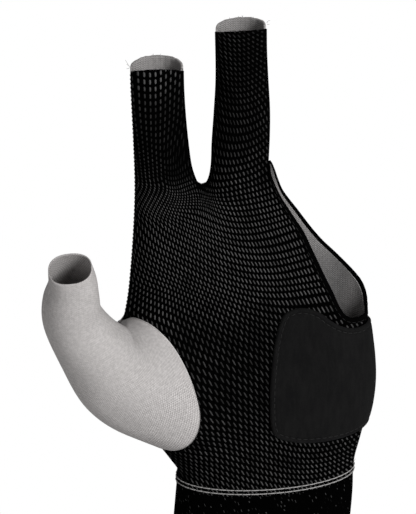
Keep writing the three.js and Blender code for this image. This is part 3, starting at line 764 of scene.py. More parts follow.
def palm_count(x, z):
    """Column and row count as they run over the palm and the middle tube."""
    row = count_along(ROW_PITCH, follow_row(ROW_TILT, STATIONS, PALM_AXIS, x, z))
    centre = read(COLUMN_CENTRE, z)
    crowded = CROWDING * CROWDING_EASE * np.log1p(np.exp((x - CROWDING_START) / CROWDING_EASE))
    gathered = smoothstep(z, SWAY_LOW, SWAY_HIGH) * (1 - smoothstep(x, *SWAY_FADE))
    column = (x - centre + crowded - SWAY * gathered) / read(COLUMN_PITCH, z)
    return np.stack([column, row + SWAY_ROWS * gathered], -1)


def index_count(x, z):
    """Column and row count as they run over the index tube, where columns crowd on the gap's side."""
    row = count_along(INDEX_ROW_PITCH, follow_row(INDEX_TILT, INDEX_STATIONS, INDEX_AXIS, x, z))
    off = x - INDEX_AXIS
    crowd = INDEX_CROWDING * smoothstep(z, *INDEX_CROWDED) * off**2
    return np.stack([off / read(INDEX_COLUMN_PITCH, z) + crowd, row], -1)


def dash_place(x, z):
    """Column and row count of the dashes, drawn together round the foot of the gap between the tubes."""
    off_x = x - GATHER_X
    off_z = z - GATHER_Z
    pull = 1 + GATHER / (1 + (off_x**2 + off_z**2) / GATHER_REACH**2)
    x = GATHER_X + off_x * pull
    z = GATHER_Z + off_z * pull
    level = np.full_like(x, MEET_Z)
    side = np.full_like(x, INDEX_AXIS)
    here = palm_count(x, level) - index_count(x, level)
    at_side = palm_count(side, level) - index_count(side, level)
    drift = smoothstep(z, MEET_Z, MEET_Z + MEET_DRIFT)[:, None]
    on_index = (smoothstep(z, MEET_Z, MEET_Z + MEET_SPAN) * (x < GAP_X))[:, None]
    return lerp(palm_count(x, z), index_count(x, z) + lerp(here, at_side, drift), on_index)


# %% Maps of the mesh knit


def edge_distance(x, z):
    """Distance to the nearest side of the palm panel, the gap and the slit among them."""
    sides = [distance_to(line, x, z) for line in (gap_index_side, gap_middle_side, slit_side)]
    across = np.minimum(x - x_at(thumb_side, z), x_at(little_side, z) - x)
    return np.minimum(np.minimum.reduce(sides), across)


def dash_tone(x, z):
    """Dash lightness from the knit's stretch, plus painted light and shade by how the cloth faces the lamp
    and at the gap's foot.
    """
    tone = read(DASH_TONE, z)
    index_tone = read(INDEX_TONE, z) * fade(x, INDEX_FADE)
    on_index = smoothstep(z, MEET_Z, MEET_Z + MEET_SPAN) * (x < GAP_X)
    tone = lerp(tone, index_tone, on_index)
    tone = tone * lerp(1, fade(x, MIDDLE_FADE), smoothstep(z, *MIDDLE_FADE_Z) * (x > GAP_X))
    for heights, across in TONE_CHANGES:
        tone = tone * lerp(1, fade(x, across), band(z, *heights))
    near_foot = 1 - smoothstep(np.hypot(x - FOOT_X, z - FOOT_Z), *FOOT_REACH)
    return tone * (1 - FOOT_SHADE * near_foot) * smoothstep(edge_distance(x, z), *PLAIN_EDGE)


def dash_maps(x, z):
    """Two maps for the mesh knit: the count of columns and rows, and each dash's lean and tone."""
    place = dash_place(x, z)
    heights, index_angle, palm_angle = np.array(DASH_ANGLE, float).T
    on_palm = smoothstep(x, *INDEX_SIDE)
    angle = lerp(np.interp(z, heights, index_angle), np.interp(z, heights, palm_angle), on_palm)
    angle = np.radians(angle)
    ahead = dash_place(x - LEAN_STEP * np.sin(angle), z + LEAN_STEP * np.cos(angle)) - place
    lean = np.clip(-ahead[:, 0] / np.maximum(ahead[:, 1], 1e-3), -LEAN_MOST, LEAN_MOST)
    return {"Knit": place, "Dash lean": np.stack([lean, dash_tone(x, z)], -1)}


# %% [markdown]
# ## Seam loops
# Two loops lie on the form: the edge of the ring and little finger opening, and the oval seam of the thumb.
# Pieces on either side of a seam take their edge from the same loop, so they meet all the way round.

# %% Loops on the form
FINE = 4
LANE_COLUMNS = 14 * FINE
HEEL_ROWS = 16 * FINE
OPENING_ROWS = 20 * FINE
TUBE_ROWS = 16 * FINE
RING_FRONT = 18 * FINE
RING_BACK = 12 * FINE
EDGE_SAMPLES = 960
OPENING_TURN, THUMB_TURN = 7, 1.5


def surface_edge(side, table, steps):
    """Points at even steps along an edge on the form."""
    curve = smooth_line(table, EDGE_SAMPLES)
    place = eased(EDGE_SAMPLES) * EDGE_SAMPLES
    x, z = (np.interp(place, np.arange(EDGE_SAMPLES + 1), curve[:, k]) for k in range(2))
    points = np.stack([x, side * depth_at(side, x, z), z], -1)
    return even_points(points, steps)


opening_front = surface_edge(FRONT, OPENING_FRONT, OPENING_ROWS)
opening_back = surface_edge(BACK, OPENING_BACK, OPENING_ROWS)
thumb_front = surface_edge(FRONT, THUMB_SEAM_FRONT, RING_FRONT)
thumb_back = surface_edge(BACK, THUMB_SEAM_BACK, RING_BACK)


def opening_normal(points):
    """Outward direction along the opening's edge, which turns to the side at its two ends."""
    facing = smoothstep(np.abs(points[:, 1]), 0, OPENING_TURN)[:, None]
    normals = np.empty_like(points)
    for side in (FRONT, BACK):
        chosen = points[:, 1] > 0 if side == BACK else points[:, 1] <= 0
        if chosen.any():
            normals[chosen] = surface(side, points[chosen, 0], points[chosen, 2])[1]
    return unit(normals * facing + np.array([1.0, 0, 0]) * (1 - facing))


def loop_tangent(loop):
    """Direction along a closed loop at each of its points."""
    return unit(np.roll(loop, -1, axis=0) - np.roll(loop, 1, axis=0))


def thumb_loop():
    """Seam loop round the thumb: points, outward normals and the way into the sleeve."""
    points = np.vstack([thumb_front[:-1], thumb_back[:-1]])
    normals = np.empty_like(points)
    normals[:RING_FRONT] = surface(FRONT, points[:RING_FRONT, 0], points[:RING_FRONT, 2])[1]
    normals[RING_FRONT:] = surface(BACK, points[RING_FRONT:, 0], points[RING_FRONT:, 2])[1]
    near_side = 1 - smoothstep(np.abs(points[:, 1]), 0, THUMB_TURN)[:, None]
    normals = unit(normals * (1 - near_side) + np.array([-1.0, 0, 0]) * near_side)
    return points, normals, unit(np.cross(loop_tangent(points), normals))


print("opening's edge on the palm, mm:", round(float(run_along(opening_front)[-1]), 1))

# %% [markdown]
# ## The two panels
# The palm and the back are each one piece of cloth that forks into the two tubes. A grid of two lanes follows
# that cut: one lane runs from the wrist up the index tube and one up the middle tube, and they join along a
# line down the palm. Columns lie closer together where the form turns away at the sides.

# %% Rows and lanes of a panel
HEM_HEIGHT, HEM_SLOPE = 26.6, 0.066
INDEX_RIM = (184.2, 184.5)
MIDDLE_RIM = (199.1, 200.2)
CROWNS = {FRONT: (2.9, 1.8), BACK: (3.8, 2.7)}
ARCH = {FRONT: 1, BACK: 0.38}
HEEL_TOP = {"side": 89, "middle": 92}
TUBE_FOOT, GAP_ROW_EASE = 139, 1.8
WOBBLE, RIM_SPREAD = ((0.05, 1.3), (0.03, 3.1)), 24


def hem_at(line):
    """Height of the slanting hem where it meets a line."""
    z = HEM_HEIGHT
    for _ in range(6):
        z = HEM_HEIGHT + HEM_SLOPE * float(x_at(line, z))
    return z


def panel_rows(opening):
    """Where each row meets the four lines that bound the two lanes, and how much of the rim's arch it has."""
    on = lambda line, z: (float(x_at(line, z)), z)
    gap_foot = GAP_INDEX_SIDE[0][1]
    rows = []
    for i in range(HEEL_ROWS + 1):
        t = i / HEEL_ROWS
        middle = on(midline, lerp(hem_at(midline), HEEL_TOP["middle"], t))
        left = on(thumb_side, lerp(hem_at(thumb_side), HEEL_TOP["side"], t))
        right = on(little_side, lerp(hem_at(little_side), OPENING_FRONT[0][1], t))
        rows.append((left, middle, middle, right, 0))
    for i in range(1, OPENING_ROWS + 1):
        t = i / OPENING_ROWS
        middle = on(midline, lerp(HEEL_TOP["middle"], gap_foot, t))
        left = on(thumb_side, lerp(HEEL_TOP["side"], TUBE_FOOT, t))
        rows.append((left, middle, middle, (opening[i, 0], opening[i, 2]), 0))
    for i in range(1, TUBE_ROWS + 1):
        t = i / TUBE_ROWS
        left = on(thumb_side, lerp(TUBE_FOOT, INDEX_RIM[0], t))
        gap_left = on(gap_index_side, lerp(gap_foot, INDEX_RIM[1], t**GAP_ROW_EASE))
        gap_right = on(gap_middle_side, lerp(gap_foot, MIDDLE_RIM[0], t**GAP_ROW_EASE))
        right = on(slit_side, lerp(SLIT_SIDE[0][1], MIDDLE_RIM[1], t))
        rows.append((left, gap_left, gap_right, right, t))
    return rows


def lane(side, rows, start, end, crown):
    """x and z of one lane of a panel, row by row."""
    t = eased(LANE_COLUMNS)
    arch = np.sin(np.pi * np.arange(LANE_COLUMNS + 1) / LANE_COLUMNS) ** ARCH[side]
    x = np.array([lerp(row[start][0], row[end][0], t) for row in rows])
    z = np.array([lerp(row[start][1], row[end][1], t) + crown * row[4] * arch for row in rows])
    raw_edge = np.array([row[4] for row in rows])[:, None] ** RIM_SPREAD
    (slow, slow_pitch), (quick, quick_pitch) = WOBBLE
    wobble = slow * np.sin(x * slow_pitch + side) + quick * np.sin(x * quick_pitch + 1.3)
    return x, z + raw_edge * wobble


# %% Skin of a panel
CLOTH, RIM_WALL = 0.9, 0.35
SEAM_GAP, SEAM_FLAT = 0.08, 0.3
BACK_INSET, BACK_EDGE, SIDE_BAND = 0.25, -0.08, 1.5
RIPPLE, RIPPLE_PITCH, RIPPLE_SPAN, RIPPLE_TOP = 0.08, 2.4, (-6, 1), 2
GAP_FOOT, FOOT_SPAN = 141.8, 9
AT_EDGE, EDGE_STEP = 0.08, 0.2


def square_off_edges(points, normals):
    """Turns the normals at the gap, the slit and the side seams into the outline's plane."""
    x, z = points[:, 0], points[:, 2]
    for line, way in ((gap_index_side, 1), (gap_middle_side, -1), (slit_side, 1)):
        lean = (x_at(line, z + EDGE_STEP) - x_at(line, z - EDGE_STEP)) / (2 * EDGE_STEP)
        at_edge = (distance_to(line, x, z) < AT_EDGE) & (np.abs(x - line[0, 0]) < FOOT_SPAN)
        normals[at_edge] = np.stack([np.full_like(lean, way), np.zeros_like(lean), -way * lean], -1)[at_edge]
    normals[np.abs(points[:, 1]) < SEAM_FLAT, 1] = 0
    return unit(normals)


def panel_skin(side):
    """Points, faces and normals of one panel, with both lanes welded along the midline."""
    opening = opening_front if side == FRONT else opening_back
    rows = panel_rows(opening)
    lanes = [lane(side, rows, 0, 1, CROWNS[side][0]), lane(side, rows, 2, 3, CROWNS[side][1])]
    x = [part[0].ravel() for part in lanes]
    z = [part[1].ravel() for part in lanes]
    x[0] = np.where(z[0] > GAP_FOOT, np.minimum(x[0], x_at(gap_index_side, z[0])), x[0])
    x[1] = np.where(z[1] > GAP_FOOT, np.maximum(x[1], x_at(gap_middle_side, z[1])), x[1])
    lane_size = x[0].size
    x = np.concatenate(x)
    z = np.concatenate(z)
    points, normals = surface(side, x, z)
    normals = square_off_edges(points, normals)
    points[:, 1] += side * SEAM_GAP / 2
    if side == BACK:
        rim_z = np.where(x < GAP_X, lerp(*INDEX_RIM, 0.5), lerp(*MIDDLE_RIM, 0.5)) + RIPPLE_TOP
        near_rim = smoothstep(z - rim_z, *RIPPLE_SPAN)
        points += normals * (RIPPLE * near_rim * np.sin(2 * np.pi * x / RIPPLE_PITCH + np.sin(x)))[:, None]
        at_thumb = 1 - smoothstep(x - x_at(thumb_side, z), 0, SIDE_BAND)
        points -= normals * lerp(BACK_INSET, BACK_EDGE, at_thumb)[:, None]
    faces = grid_faces(len(rows), LANE_COLUMNS + 1)
    faces = np.vstack([faces, faces + lane_size])
    first = lane_size + HEEL_ROWS * (LANE_COLUMNS + 1) + LANE_COLUMNS
    at_opening = first + np.arange(OPENING_ROWS + 1) * (LANE_COLUMNS + 1)
    normals[at_opening] = opening_normal(opening)
    points, faces, kept = weld(points, faces)
    return points, faces, normals[kept]


# %% [markdown]
# ## The thumb's hole
# A tailor cuts the oval out of the sewn cloth. Here a body with the oval's wall is taken out of both panels
# by a boolean, so the cut runs square through the cloth and meets the sleeve's edge all the way round.

# %% Cutter
CUT_RINGS = (-3.5, 3, 14)
CUT_ENDS = [(-36, -3, 64), (-90, -20, 64)]


def thumb_cutter():
    """A body that takes the thumb's oval out of a panel, its wall square to the cloth."""
    points, normals, _ = thumb_loop()
    rings = [points + normals * offset for offset in CUT_RINGS]
    count = len(points)
    body = np.vstack([*rings, CUT_ENDS])
    faces = grid_faces(len(rings), count, wrap=True)
    mesh = bpy.data.meshes.new("thumb_cutter")
    mesh.from_pydata((body * MM).tolist(), [], faces.tolist() + end_caps(len(rings), count, 0))
    cutter = bpy.data.objects.new("thumb_cutter", mesh)
    bpy.context.scene.collection.objects.link(cutter)
    return cutter


def cut(piece, cutter):
    """Takes the cutter's body out of a piece and applies the cut."""
    modifier = piece.modifiers.new("cut", "BOOLEAN")
    modifier.operation = "DIFFERENCE"
    modifier.solver = "EXACT"
    modifier.object = cutter
    with bpy.context.temp_override(object=piece, active_object=piece):
        bpy.ops.object.modifier_apply(modifier=modifier.name)
    print(piece.name, "after the cut: faces", len(piece.data.polygons))


# %% [markdown]
# ## Both panels
# The palm has the mesh knit's maps. The back has a map of painted shade on its inner face: darker deep in the
# opening, at its narrow top and in the middle tube, where shade falls inside the glove, lighter low by the
# little finger's side.

# %% Panels
# Depth of painted shade on the back's inner face: 0 keeps the outside colour, 1 takes the darker inside
# colour.
INNER_SHADE = 0.62
SHADES = [
    # x from and to, z where a shade starts, is full, eases off and ends, then how dark it is
    ((-24, -18), (138, 146, 210, 211), 0.72),
    ((8, 20), (0, 1, 104, 124), 1),
    ((-1, 1), (137, 141, 150, 156), 1),
]
# The low corner by the little finger's side takes less painted shade, a painted lightening where the cloth's
# own shadow is deepest.
CORNER_SHADE, CORNER_IN, CORNER_UP = 0.45, (2, 10), (98, 110)
BACK_KNIT_CLEAR = 0.4


def back_shade(x, z):
    """Painted shade on the back's inner face: darker low in the opening, at its narrow top and in the middle
    tube, less in its low corner.
    """
    shade = INNER_SHADE
    for across, heights, value in SHADES:
        shade = lerp(shade, value, smoothstep(x, *across) * band(z, *heights))
    in_corner = (1 - smoothstep(x_at(little_side, z) - x, *CORNER_IN)) * (1 - smoothstep(z, *CORNER_UP))
    return lerp(shade, CORNER_SHADE, in_corner)


cutter = thumb_cutter()
for side, name, finish, slot in (
    (FRONT, "palm_panel", mesh_knit, "black_mesh_knit"),
    (BACK, "back_panel", jersey, "grey_jersey"),
):
    skin, faces, normals = panel_skin(side)
    points, wall_faces = wall(skin, faces, normals, 0, -CLOTH)
    wall_faces = face_out(points, wall_faces)
    maps = dash_maps(skin[:, 0], skin[:, 2]) if side == FRONT else {"Knit": skin[:, [0, 2]]}
    maps = {label: double(values) for label, values in maps.items()}
    if side == BACK:
        shade = back_shade(skin[:, 0], skin[:, 2])
        maps["Face"] = face_map(shade, np.full(len(skin), BACK_KNIT_CLEAR))
    cut(add_piece(name + "_cloth", points, wall_faces, finish, name, maps), cutter)
bpy.data.objects.remove(cutter)

# %% [markdown]
# ## Thumb sleeve
# The sleeve is sewn into the oval and leans forward with the thumb. Its rings turn from the oval's plane to
# the thumb's own section, and smooth columns run through them. The first rows tuck under at the seam.

# %% Rings of the sleeve
THUMB_SECTIONS = [
    # x, y, z of the middle, half width, half depth, turn of the width from +X toward +Z in degrees
    (-53, -15, 71.2, 19.9, 15.8, 84),
    (-57, -22, 77.9, 16.9, 14, 60),
    (-63.1, -28.8, 89.3, 13, 12.8, 38),
    (-68.5, -36.6, 103, 10.9, 11.6, 10),
    (-68.6, -42, 111.9, 10.1, 10.6, 0),
    (-67.8, -46, 118.9, 8.7, 9, 3),
    (-68.4, -50, 125.4, 7.8, 7.6, 5),
]
THUMB_LEAN = math.radians(28)
RIM_SQUARE, RIM_SQUARE_Z = 0.15, (112, 125)
SLEEVE_GAP, SLEEVE_ROWS = 0.35, 110
CORNER_REACH, CORNER_DROP = 4, 1.2
MOUND_ROWS, MOUND_START, MOUND_END = (30, 70), (18, 36), (50, 66)
MOUND_STEPS, MOUND_EASE, MOUND_PUSH, PUSH_EVERY = 1200, 0.8, 0.008, 40


def thumb_rings():
    """Sections of the thumb from its root to the rim, with a point for every column of the seam."""
    front = np.arange(RING_FRONT) / RING_FRONT
    back = 1 + np.arange(RING_BACK) / RING_BACK
    angle = (np.pi * np.concatenate([front, back]))[:, None]
    rings = []
    for x, y, z, half_width, half_depth, turn in THUMB_SECTIONS:
        tilt = math.radians(turn)
        across = np.array([math.cos(tilt), 0, math.sin(tilt)])
        axis = np.array([-math.sin(tilt), 0, math.cos(tilt)])
        forward = np.array([0, -math.cos(THUMB_LEAN), 0]) - axis * math.sin(THUMB_LEAN)
        power = 1 - RIM_SQUARE * smoothstep(z, *RIM_SQUARE_Z)
        wide, deep = (np.sign(value) * np.abs(value) ** power for value in (np.cos(angle), np.sin(angle)))
        rings.append(np.array([x, y, z]) - across * half_width * wide + forward * half_depth * deep)
    return rings


def inflate(grid):
    """Relaxes the palm side of the sleeve like stretched cloth over a full, soft mound."""
    row = np.arange(len(grid))[:, None]
    column = np.arange(grid.shape[1])[None]
    free = (band(row, 0, 3, *MOUND_ROWS) * band(column, *MOUND_START, *MOUND_END))[..., None]
    for turn in range(MOUND_STEPS):
        if turn % PUSH_EVERY == 0:
            along = np.gradient(grid, axis=0)
            around = np.roll(grid, -1, axis=1) - np.roll(grid, 1, axis=1)
            push = unit(np.cross(around, along)) * MOUND_PUSH
        beside = np.roll(grid, -1, axis=1) + np.roll(grid, 1, axis=1)
        middle = np.copy(grid)
        middle[1:-1] = (grid[2:] + grid[:-2] + beside[1:-1]) / 4
        grid = grid + free * (MOUND_EASE * (middle - grid) + push)
    return grid


def sleeve_skin():
    """Grid of the sleeve, the normals at its seam, and how near each column is to the seam's corner."""
    loop, normals, inward = thumb_loop()
    corner = np.exp(-((np.linalg.norm(loop - loop[RING_FRONT], axis=1) / CORNER_REACH) ** 2))
    base = loop + inward * (SLEEVE_GAP - CORNER_DROP * corner)[:, None]
    rings = [base, *thumb_rings()]
    columns = len(base)
    grid = np.empty((SLEEVE_ROWS + 1, columns, 3))
    for c in range(columns):
        grid[:, c] = even_points(smooth_line([ring[c] for ring in rings], 200), SLEEVE_ROWS)
    return inflate(grid), normals, corner


# %% [markdown]
# ## Wall and knit of the sleeve
# The knit's courses run round the thumb, so the map counts the distance round each ring from the back, and
# the distance along the thumb. A side seam pulls a faint groove along the outer side.

# %% Thumb sleeve
SIDE_SEAM_COLUMN, SIDE_SEAM_DEPTH, SIDE_SEAM_WIDTH, SIDE_SEAM_ROWS = 9, 0.4, 1.2, (34, 60)
CORNER_ROWS, CORNER_THINNER = (1, 10), 0.8
TUCK_ROWS, TUCK_DEPTH, RIM_ROWS = 4, 0.7, 14
COURSE_WAY = np.array([-0.2, -0.42, 0.88])
KNIT_FAINT, KNIT_STRONG, KNIT_FADE_Z = 0.25, 1, (62, 96)
# Painted shade inside the sleeve: more on its lit left side, none on its dim right side, which evens out its
# inner face.
LIT_SHADE, DIM_SHADE = 0.4, 0


def sleeve_map(grid):
    """Knit map of the sleeve: distance round each ring, and distance along the thumb."""
    at_back = RING_FRONT + RING_BACK // 2
    turned = np.roll(grid, -at_back, axis=1)
    arc = np.cumsum(np.linalg.norm(np.diff(turned, axis=1, prepend=turned[:, :1]), axis=2), axis=1)
    arc = np.roll(arc, at_back, axis=1)
    front = RING_FRONT // 2
    arc += (grid[..., 0] - arc)[:, front : front + 1]
    return np.stack([arc.ravel(), (grid @ COURSE_WAY).ravel()], -1)


def sleeve_shade(rows, columns):
    """Painted shade on the sleeve's inner face: darker paint on its lit left side, none on its dim right
    side.
    """
    column = np.arange(columns)
    from_left = np.where(column > RING_FRONT, 1 - (column - RING_FRONT) / RING_BACK, column / RING_FRONT)
    shade = lerp(LIT_SHADE, DIM_SHADE, smoothstep(from_left, 0, 1))
    return np.broadcast_to(shade, (rows, columns)).ravel()


def sleeve_piece():
    """The sleeve as a closed wall that thins toward the rim and tucks under at the seam."""
    grid, seam_normals, corner = sleeve_skin()
    rows, columns, _ = grid.shape
    row = np.arange(rows)[:, None]
    along = np.empty_like(grid)
    along[1:-1] = grid[2:] - grid[:-2]
    along[0] = grid[1] - grid[0]
    along[-1] = grid[-1] - grid[-2]
    around = np.roll(grid, -1, axis=1) - np.roll(grid, 1, axis=1)
    at_corner = (1 - smoothstep(row, *CORNER_ROWS)) * corner
    normals = unit(lerp(unit(np.cross(around, along)), seam_normals, at_corner[..., None]))
    normals[0] = seam_normals
    groove = np.exp(-(((np.arange(columns) - SIDE_SEAM_COLUMN) / SIDE_SEAM_WIDTH) ** 2))
    groove = groove * smoothstep(row, *SIDE_SEAM_ROWS)
    grid -= normals * (SIDE_SEAM_DEPTH * groove)[..., None]
    for r in range(TUCK_ROWS):
        grid[r] -= normals[r] * TUCK_DEPTH * (1 - math.sin(math.pi / 2 * r / TUCK_ROWS))
    low_part = 1 - smoothstep(grid[..., 2].ravel(), *KNIT_FADE_Z)
    knit_clear = lerp(KNIT_FAINT, KNIT_STRONG, low_part)
    thickness = lerp(CLOTH, RIM_WALL, smoothstep(row, rows - RIM_ROWS, rows - 1))
    thickness = thickness * (1 - CORNER_THINNER * at_corner)
    faces = grid_faces(rows, columns, wrap=True)
    points, faces = wall(grid.reshape(-1, 3), faces, normals.reshape(-1, 3), 0, -thickness.ravel())
    maps = {"Knit": double(sleeve_map(grid)), "Face": face_map(sleeve_shade(rows, columns), knit_clear)}
    return add_piece(
        "thumb_sleeve_cloth", points, face_out(points, faces), jersey, "thumb_sleeve", maps
    )


sleeve_piece()

# %% [markdown]
# ## Heel pad
# The pad is a thicker patch of brushed microfibre, sewn flat on the palm and wrapped round the side. Its edge
# is rounded off, and the stitching pulls a shallow groove into it a little way in.

# %% Heel pad
PAD_TOP = [
    (11, 98.2), (14.3, 98.9), (18.3, 98.3), (22, 96.6), (25.4, 93.9), (28.9, 91.6), (32.4, 90.2),
    (36.4, 89.6), (42, 89.6),
]
PAD_BOTTOM = [(8, 49), (13.9, 47.9), (20, 47.8), (26, 48), (33, 48.5), (38, 49.3), (42, 50.4)]
PAD_INNER_SIDE = [
    (8, 49), (5, 50.4), (3.6, 54), (3, 64.9), (3.6, 76), (4.8, 86), (6.4, 92.6), (8.3, 96.6), (11, 98.2),
]
PAD_CLEARANCE, PAD_WALL, PAD_WRAP, PAD_WRAP_IN = 0.35, 1.1, 9, 1.6
PAD_RIM, PAD_ROUND = 0.15, 1.1
PAD_GROOVE, PAD_GROOVE_WIDTH = 0.4, 0.45
PAD_SIDE_X = 41
PAD_STITCH_INSET = 1.75
PAD_ROWS, PAD_FRONT_COLUMNS, PAD_BACK_COLUMNS = 100, 90, 20


def pad_grid():
    """x, z and side of the pad's grid, and how far each point is from the pad's edge."""
    top, bottom, inner = (smooth_line(table, 400) for table in (PAD_TOP, PAD_BOTTOM, PAD_INNER_SIDE))
    low_at = lambda x: np.interp(x, bottom[:, 0], bottom[:, 1])
    high_at = lambda x: np.interp(x, top[:, 0], top[:, 1])
    count = np.arange(len(inner))
    start = np.stack([np.interp(eased(PAD_ROWS) * count[-1], count, inner[:, k]) for k in range(2)], -1)
    start_low, start_high = low_at(start[:, 0]), high_at(start[:, 0])
    share = np.clip((start[:, 1] - start_low) / (start_high - start_low), 0, 1)[:, None]
    place = lambda x: low_at(x) + (high_at(x) - low_at(x)) * share
    edge_z = place(np.full((PAD_ROWS + 1, 1), float(PAD_SIDE_X)))
    edge_x = x_at(little_side, edge_z)
    s = np.sin(np.pi / 2 * np.arange(PAD_FRONT_COLUMNS + 1) / PAD_FRONT_COLUMNS)[None]
    front_x = lerp(start[:, :1], edge_x, s)
    front_z = place(front_x)
    wrap = ((np.arange(PAD_BACK_COLUMNS) + 1) / PAD_BACK_COLUMNS)[None] ** 2
    back_x = edge_x - PAD_WRAP * wrap
    back_z = np.broadcast_to(edge_z, back_x.shape)
    outline = np.vstack([bottom[::-1], inner[1:], top[1:]])
    front_in = distance_to(outline, front_x, front_z)
    ends = np.minimum(back_z - back_z.min(), back_z.max() - back_z)
    back_in = np.minimum(ends, PAD_WRAP * (1 - wrap) * PAD_WRAP_IN)
    return (front_x, front_z, front_in), (back_x, back_z, back_in)


def pad_height(inset):
    """Thickness of the pad at a distance in from its edge: a rounded edge and a pulled-in seam."""
    groove = PAD_GROOVE * np.exp(-(((inset - PAD_STITCH_INSET) / PAD_GROOVE_WIDTH) ** 2))
    return PAD_CLEARANCE + PAD_RIM + (PAD_WALL - PAD_RIM) * quarter_round(inset, PAD_ROUND) - groove


def pad_piece():
    """The pad as a closed wall that stands a little off the panels."""
    (front_x, front_z, front_in), (back_x, back_z, back_in) = pad_grid()
    front_points, front_normals = surface(FRONT, front_x, front_z)
    back_points, back_normals = surface(BACK, back_x, back_z)
    front_normals[:, -1] = (1, 0, 0)
    skin = np.concatenate([front_points, back_points], axis=1)
    normals = np.concatenate([front_normals, back_normals], axis=1).reshape(-1, 3)
    height = pad_height(np.concatenate([front_in, back_in], axis=1).ravel())
    faces = grid_faces(*skin.shape[:2])
    skin = skin.reshape(-1, 3)
    points, faces = wall(skin, faces, normals, height, PAD_CLEARANCE)
    maps = {"Knit": double(skin[:, [0, 2]])}
    return add_piece("heel_pad_suede", points, face_out(points, faces), suede, "heel_pad", maps)


pad_piece()

# %% [markdown]
# ## Binding tape
# A folded tape covers the opening's raw edge. It is a rounded section swept round the seam loop, broader on
# the palm than on the back, and it puckers a little at every stitch.

# %% Binding tape
BINDING_FRONT, BINDING_BACK, BINDING_TOP = 2.15, 1.35, 0.4
BINDING_GAP, BINDING_PROUD = -0.2, 0.4
BINDING_TURN, BINDING_TAPER = 4, (2, 40)
PUCKER, PUCKER_PITCH = 0.06, 2.6
SECTION_POINTS, SECTION_SQUARE, SECTION_MAP = 16, 0.6, 0.35


def binding_piece():
    """The tape as one closed ring, swept round the opening's edge."""
    loop = np.vstack([opening_front, opening_back[1:-1][::-1]])
    tangent = loop_tangent(loop)
    normal = opening_normal(loop)
    inward = unit(np.cross(tangent, normal))
    normal = np.cross(inward, tangent)
    to_back = smoothstep(loop[:, 1], -BINDING_TURN, BINDING_TURN)
    run = run_along(loop)
    from_top = np.abs(run - run[OPENING_ROWS])
    width = lerp(BINDING_FRONT, BINDING_BACK, to_back)
    width = width * lerp(BINDING_TOP, 1, smoothstep(from_top, *BINDING_TAPER))
    pucker = PUCKER * np.cos(2 * np.pi * run / PUCKER_PITCH)
    squared = lambda value: np.sign(value) * np.abs(value) ** SECTION_SQUARE
    half_height = (BINDING_PROUD + CLOTH) / 2
    rings = []
    for angle in 2 * np.pi * np.arange(SECTION_POINTS) / SECTION_POINTS:
        across = lerp(BINDING_GAP, width, (1 + squared(math.cos(angle))) / 2)
        out = BINDING_PROUD - half_height + (half_height + pucker) * squared(math.sin(angle))
        rings.append(loop + inward * across[:, None] + normal * out[:, None])
    points = np.stack(rings, axis=1).reshape(-1, 3)
    faces = grid_faces(len(loop) + 1, SECTION_POINTS, wrap=True) % len(points)
    around = np.tile(np.arange(SECTION_POINTS) * SECTION_MAP, len(loop))
    maps = {"Knit": np.stack([around, np.repeat(run, SECTION_POINTS)], -1)}
    faces = face_out(points, faces)
    return add_piece("opening_tape", points, faces, tape, "opening_binding", maps)


binding_piece()

# %% [markdown]
# ## Wrist band
# The band is a plain tube of knit, doubled at its lower edge. Only its upper part shows in most pictures.

# %% Wrist band
CUFF_WALL, CUFF_INSET = 1.4, 0.25
CUFF_ROUND, CUFF_ROUND_DEPTH, CUFF_TOP_EDGE = 0.9, 0.35, 0.4
CUFF_ROWS, CUFF_HALF = 44, 120
FLECK_WIDTH, FLECK_HEIGHT = 1.35, 1.7
FLECK_DRIFT = ((0.4, 0.9), (0.3, 0.37))


def cuff_piece():
    """The band as one closed ring from the hem down, with both rims rounded."""
    c = np.arange(2 * CUFF_HALF)
    t = (1 - np.cos(np.pi * c / CUFF_HALF)) / 2
    z = np.zeros((CUFF_ROWS + 1, 2 * CUFF_HALF))
    level = (np.arange(CUFF_ROWS + 1) / CUFF_ROWS)[:, None]
    for _ in range(4):
        x = lerp(x_at(thumb_side, z), x_at(little_side, z), t)
        z = level * (HEM_HEIGHT + HEM_SLOPE * x - SEAM_GAP)
    half = CUFF_HALF
    front, front_normals = surface(FRONT, x[:, : half + 1], z[:, : half + 1])
    back, back_normals = surface(BACK, x[:, half + 1 :], z[:, half + 1 :])
    front_normals[:, 0] = (-1, 0, 0)
    front_normals[:, half] = (1, 0, 0)
    skin = np.concatenate([front, back], axis=1)
    normals = np.concatenate([front_normals, back_normals], axis=1)
    normals[0, :, 2] = 0
    normals = unit(normals)
    around = np.linalg.norm(np.diff(skin, axis=1, append=skin[:, :1]), axis=2)
    around = np.cumsum(around, axis=1)
    drift = sum(size * np.sin(around * pitch) for size, pitch in FLECK_DRIFT)
    flecks = np.stack([around / FLECK_WIDTH, skin[..., 2] / FLECK_HEIGHT + drift], -1)
    edge = np.minimum(z, z.max() - z + CUFF_TOP_EDGE)
    outer = -CUFF_ROUND_DEPTH * (1 - quarter_round(edge, CUFF_ROUND)) - CUFF_INSET
    faces = grid_faces(CUFF_ROWS + 1, 2 * half, wrap=True)
    points, faces = wall(skin.reshape(-1, 3), faces, normals.reshape(-1, 3), outer.ravel(), -CUFF_WALL)
    maps = {"Knit": double(flecks.reshape(-1, 2))}
    faces = face_out(points, faces)
    return add_piece("wrist_band", points, faces, cuff_knit, "wrist_cuff", maps)


cuff_piece()

# %% [markdown]
# ## Stitches
# Each stitch is a short tube that rises out of the cloth and dives back in. They could be a bump in the
# material, but as real thread they keep their shape at the outline.

# %% Stitch maker
THREAD_SIDES = 8
THREAD_WAYS = np.array([(0.3, 0.2, 0.9), (0.9, 0.3, 0.1)])
STITCH_POINTS = 7


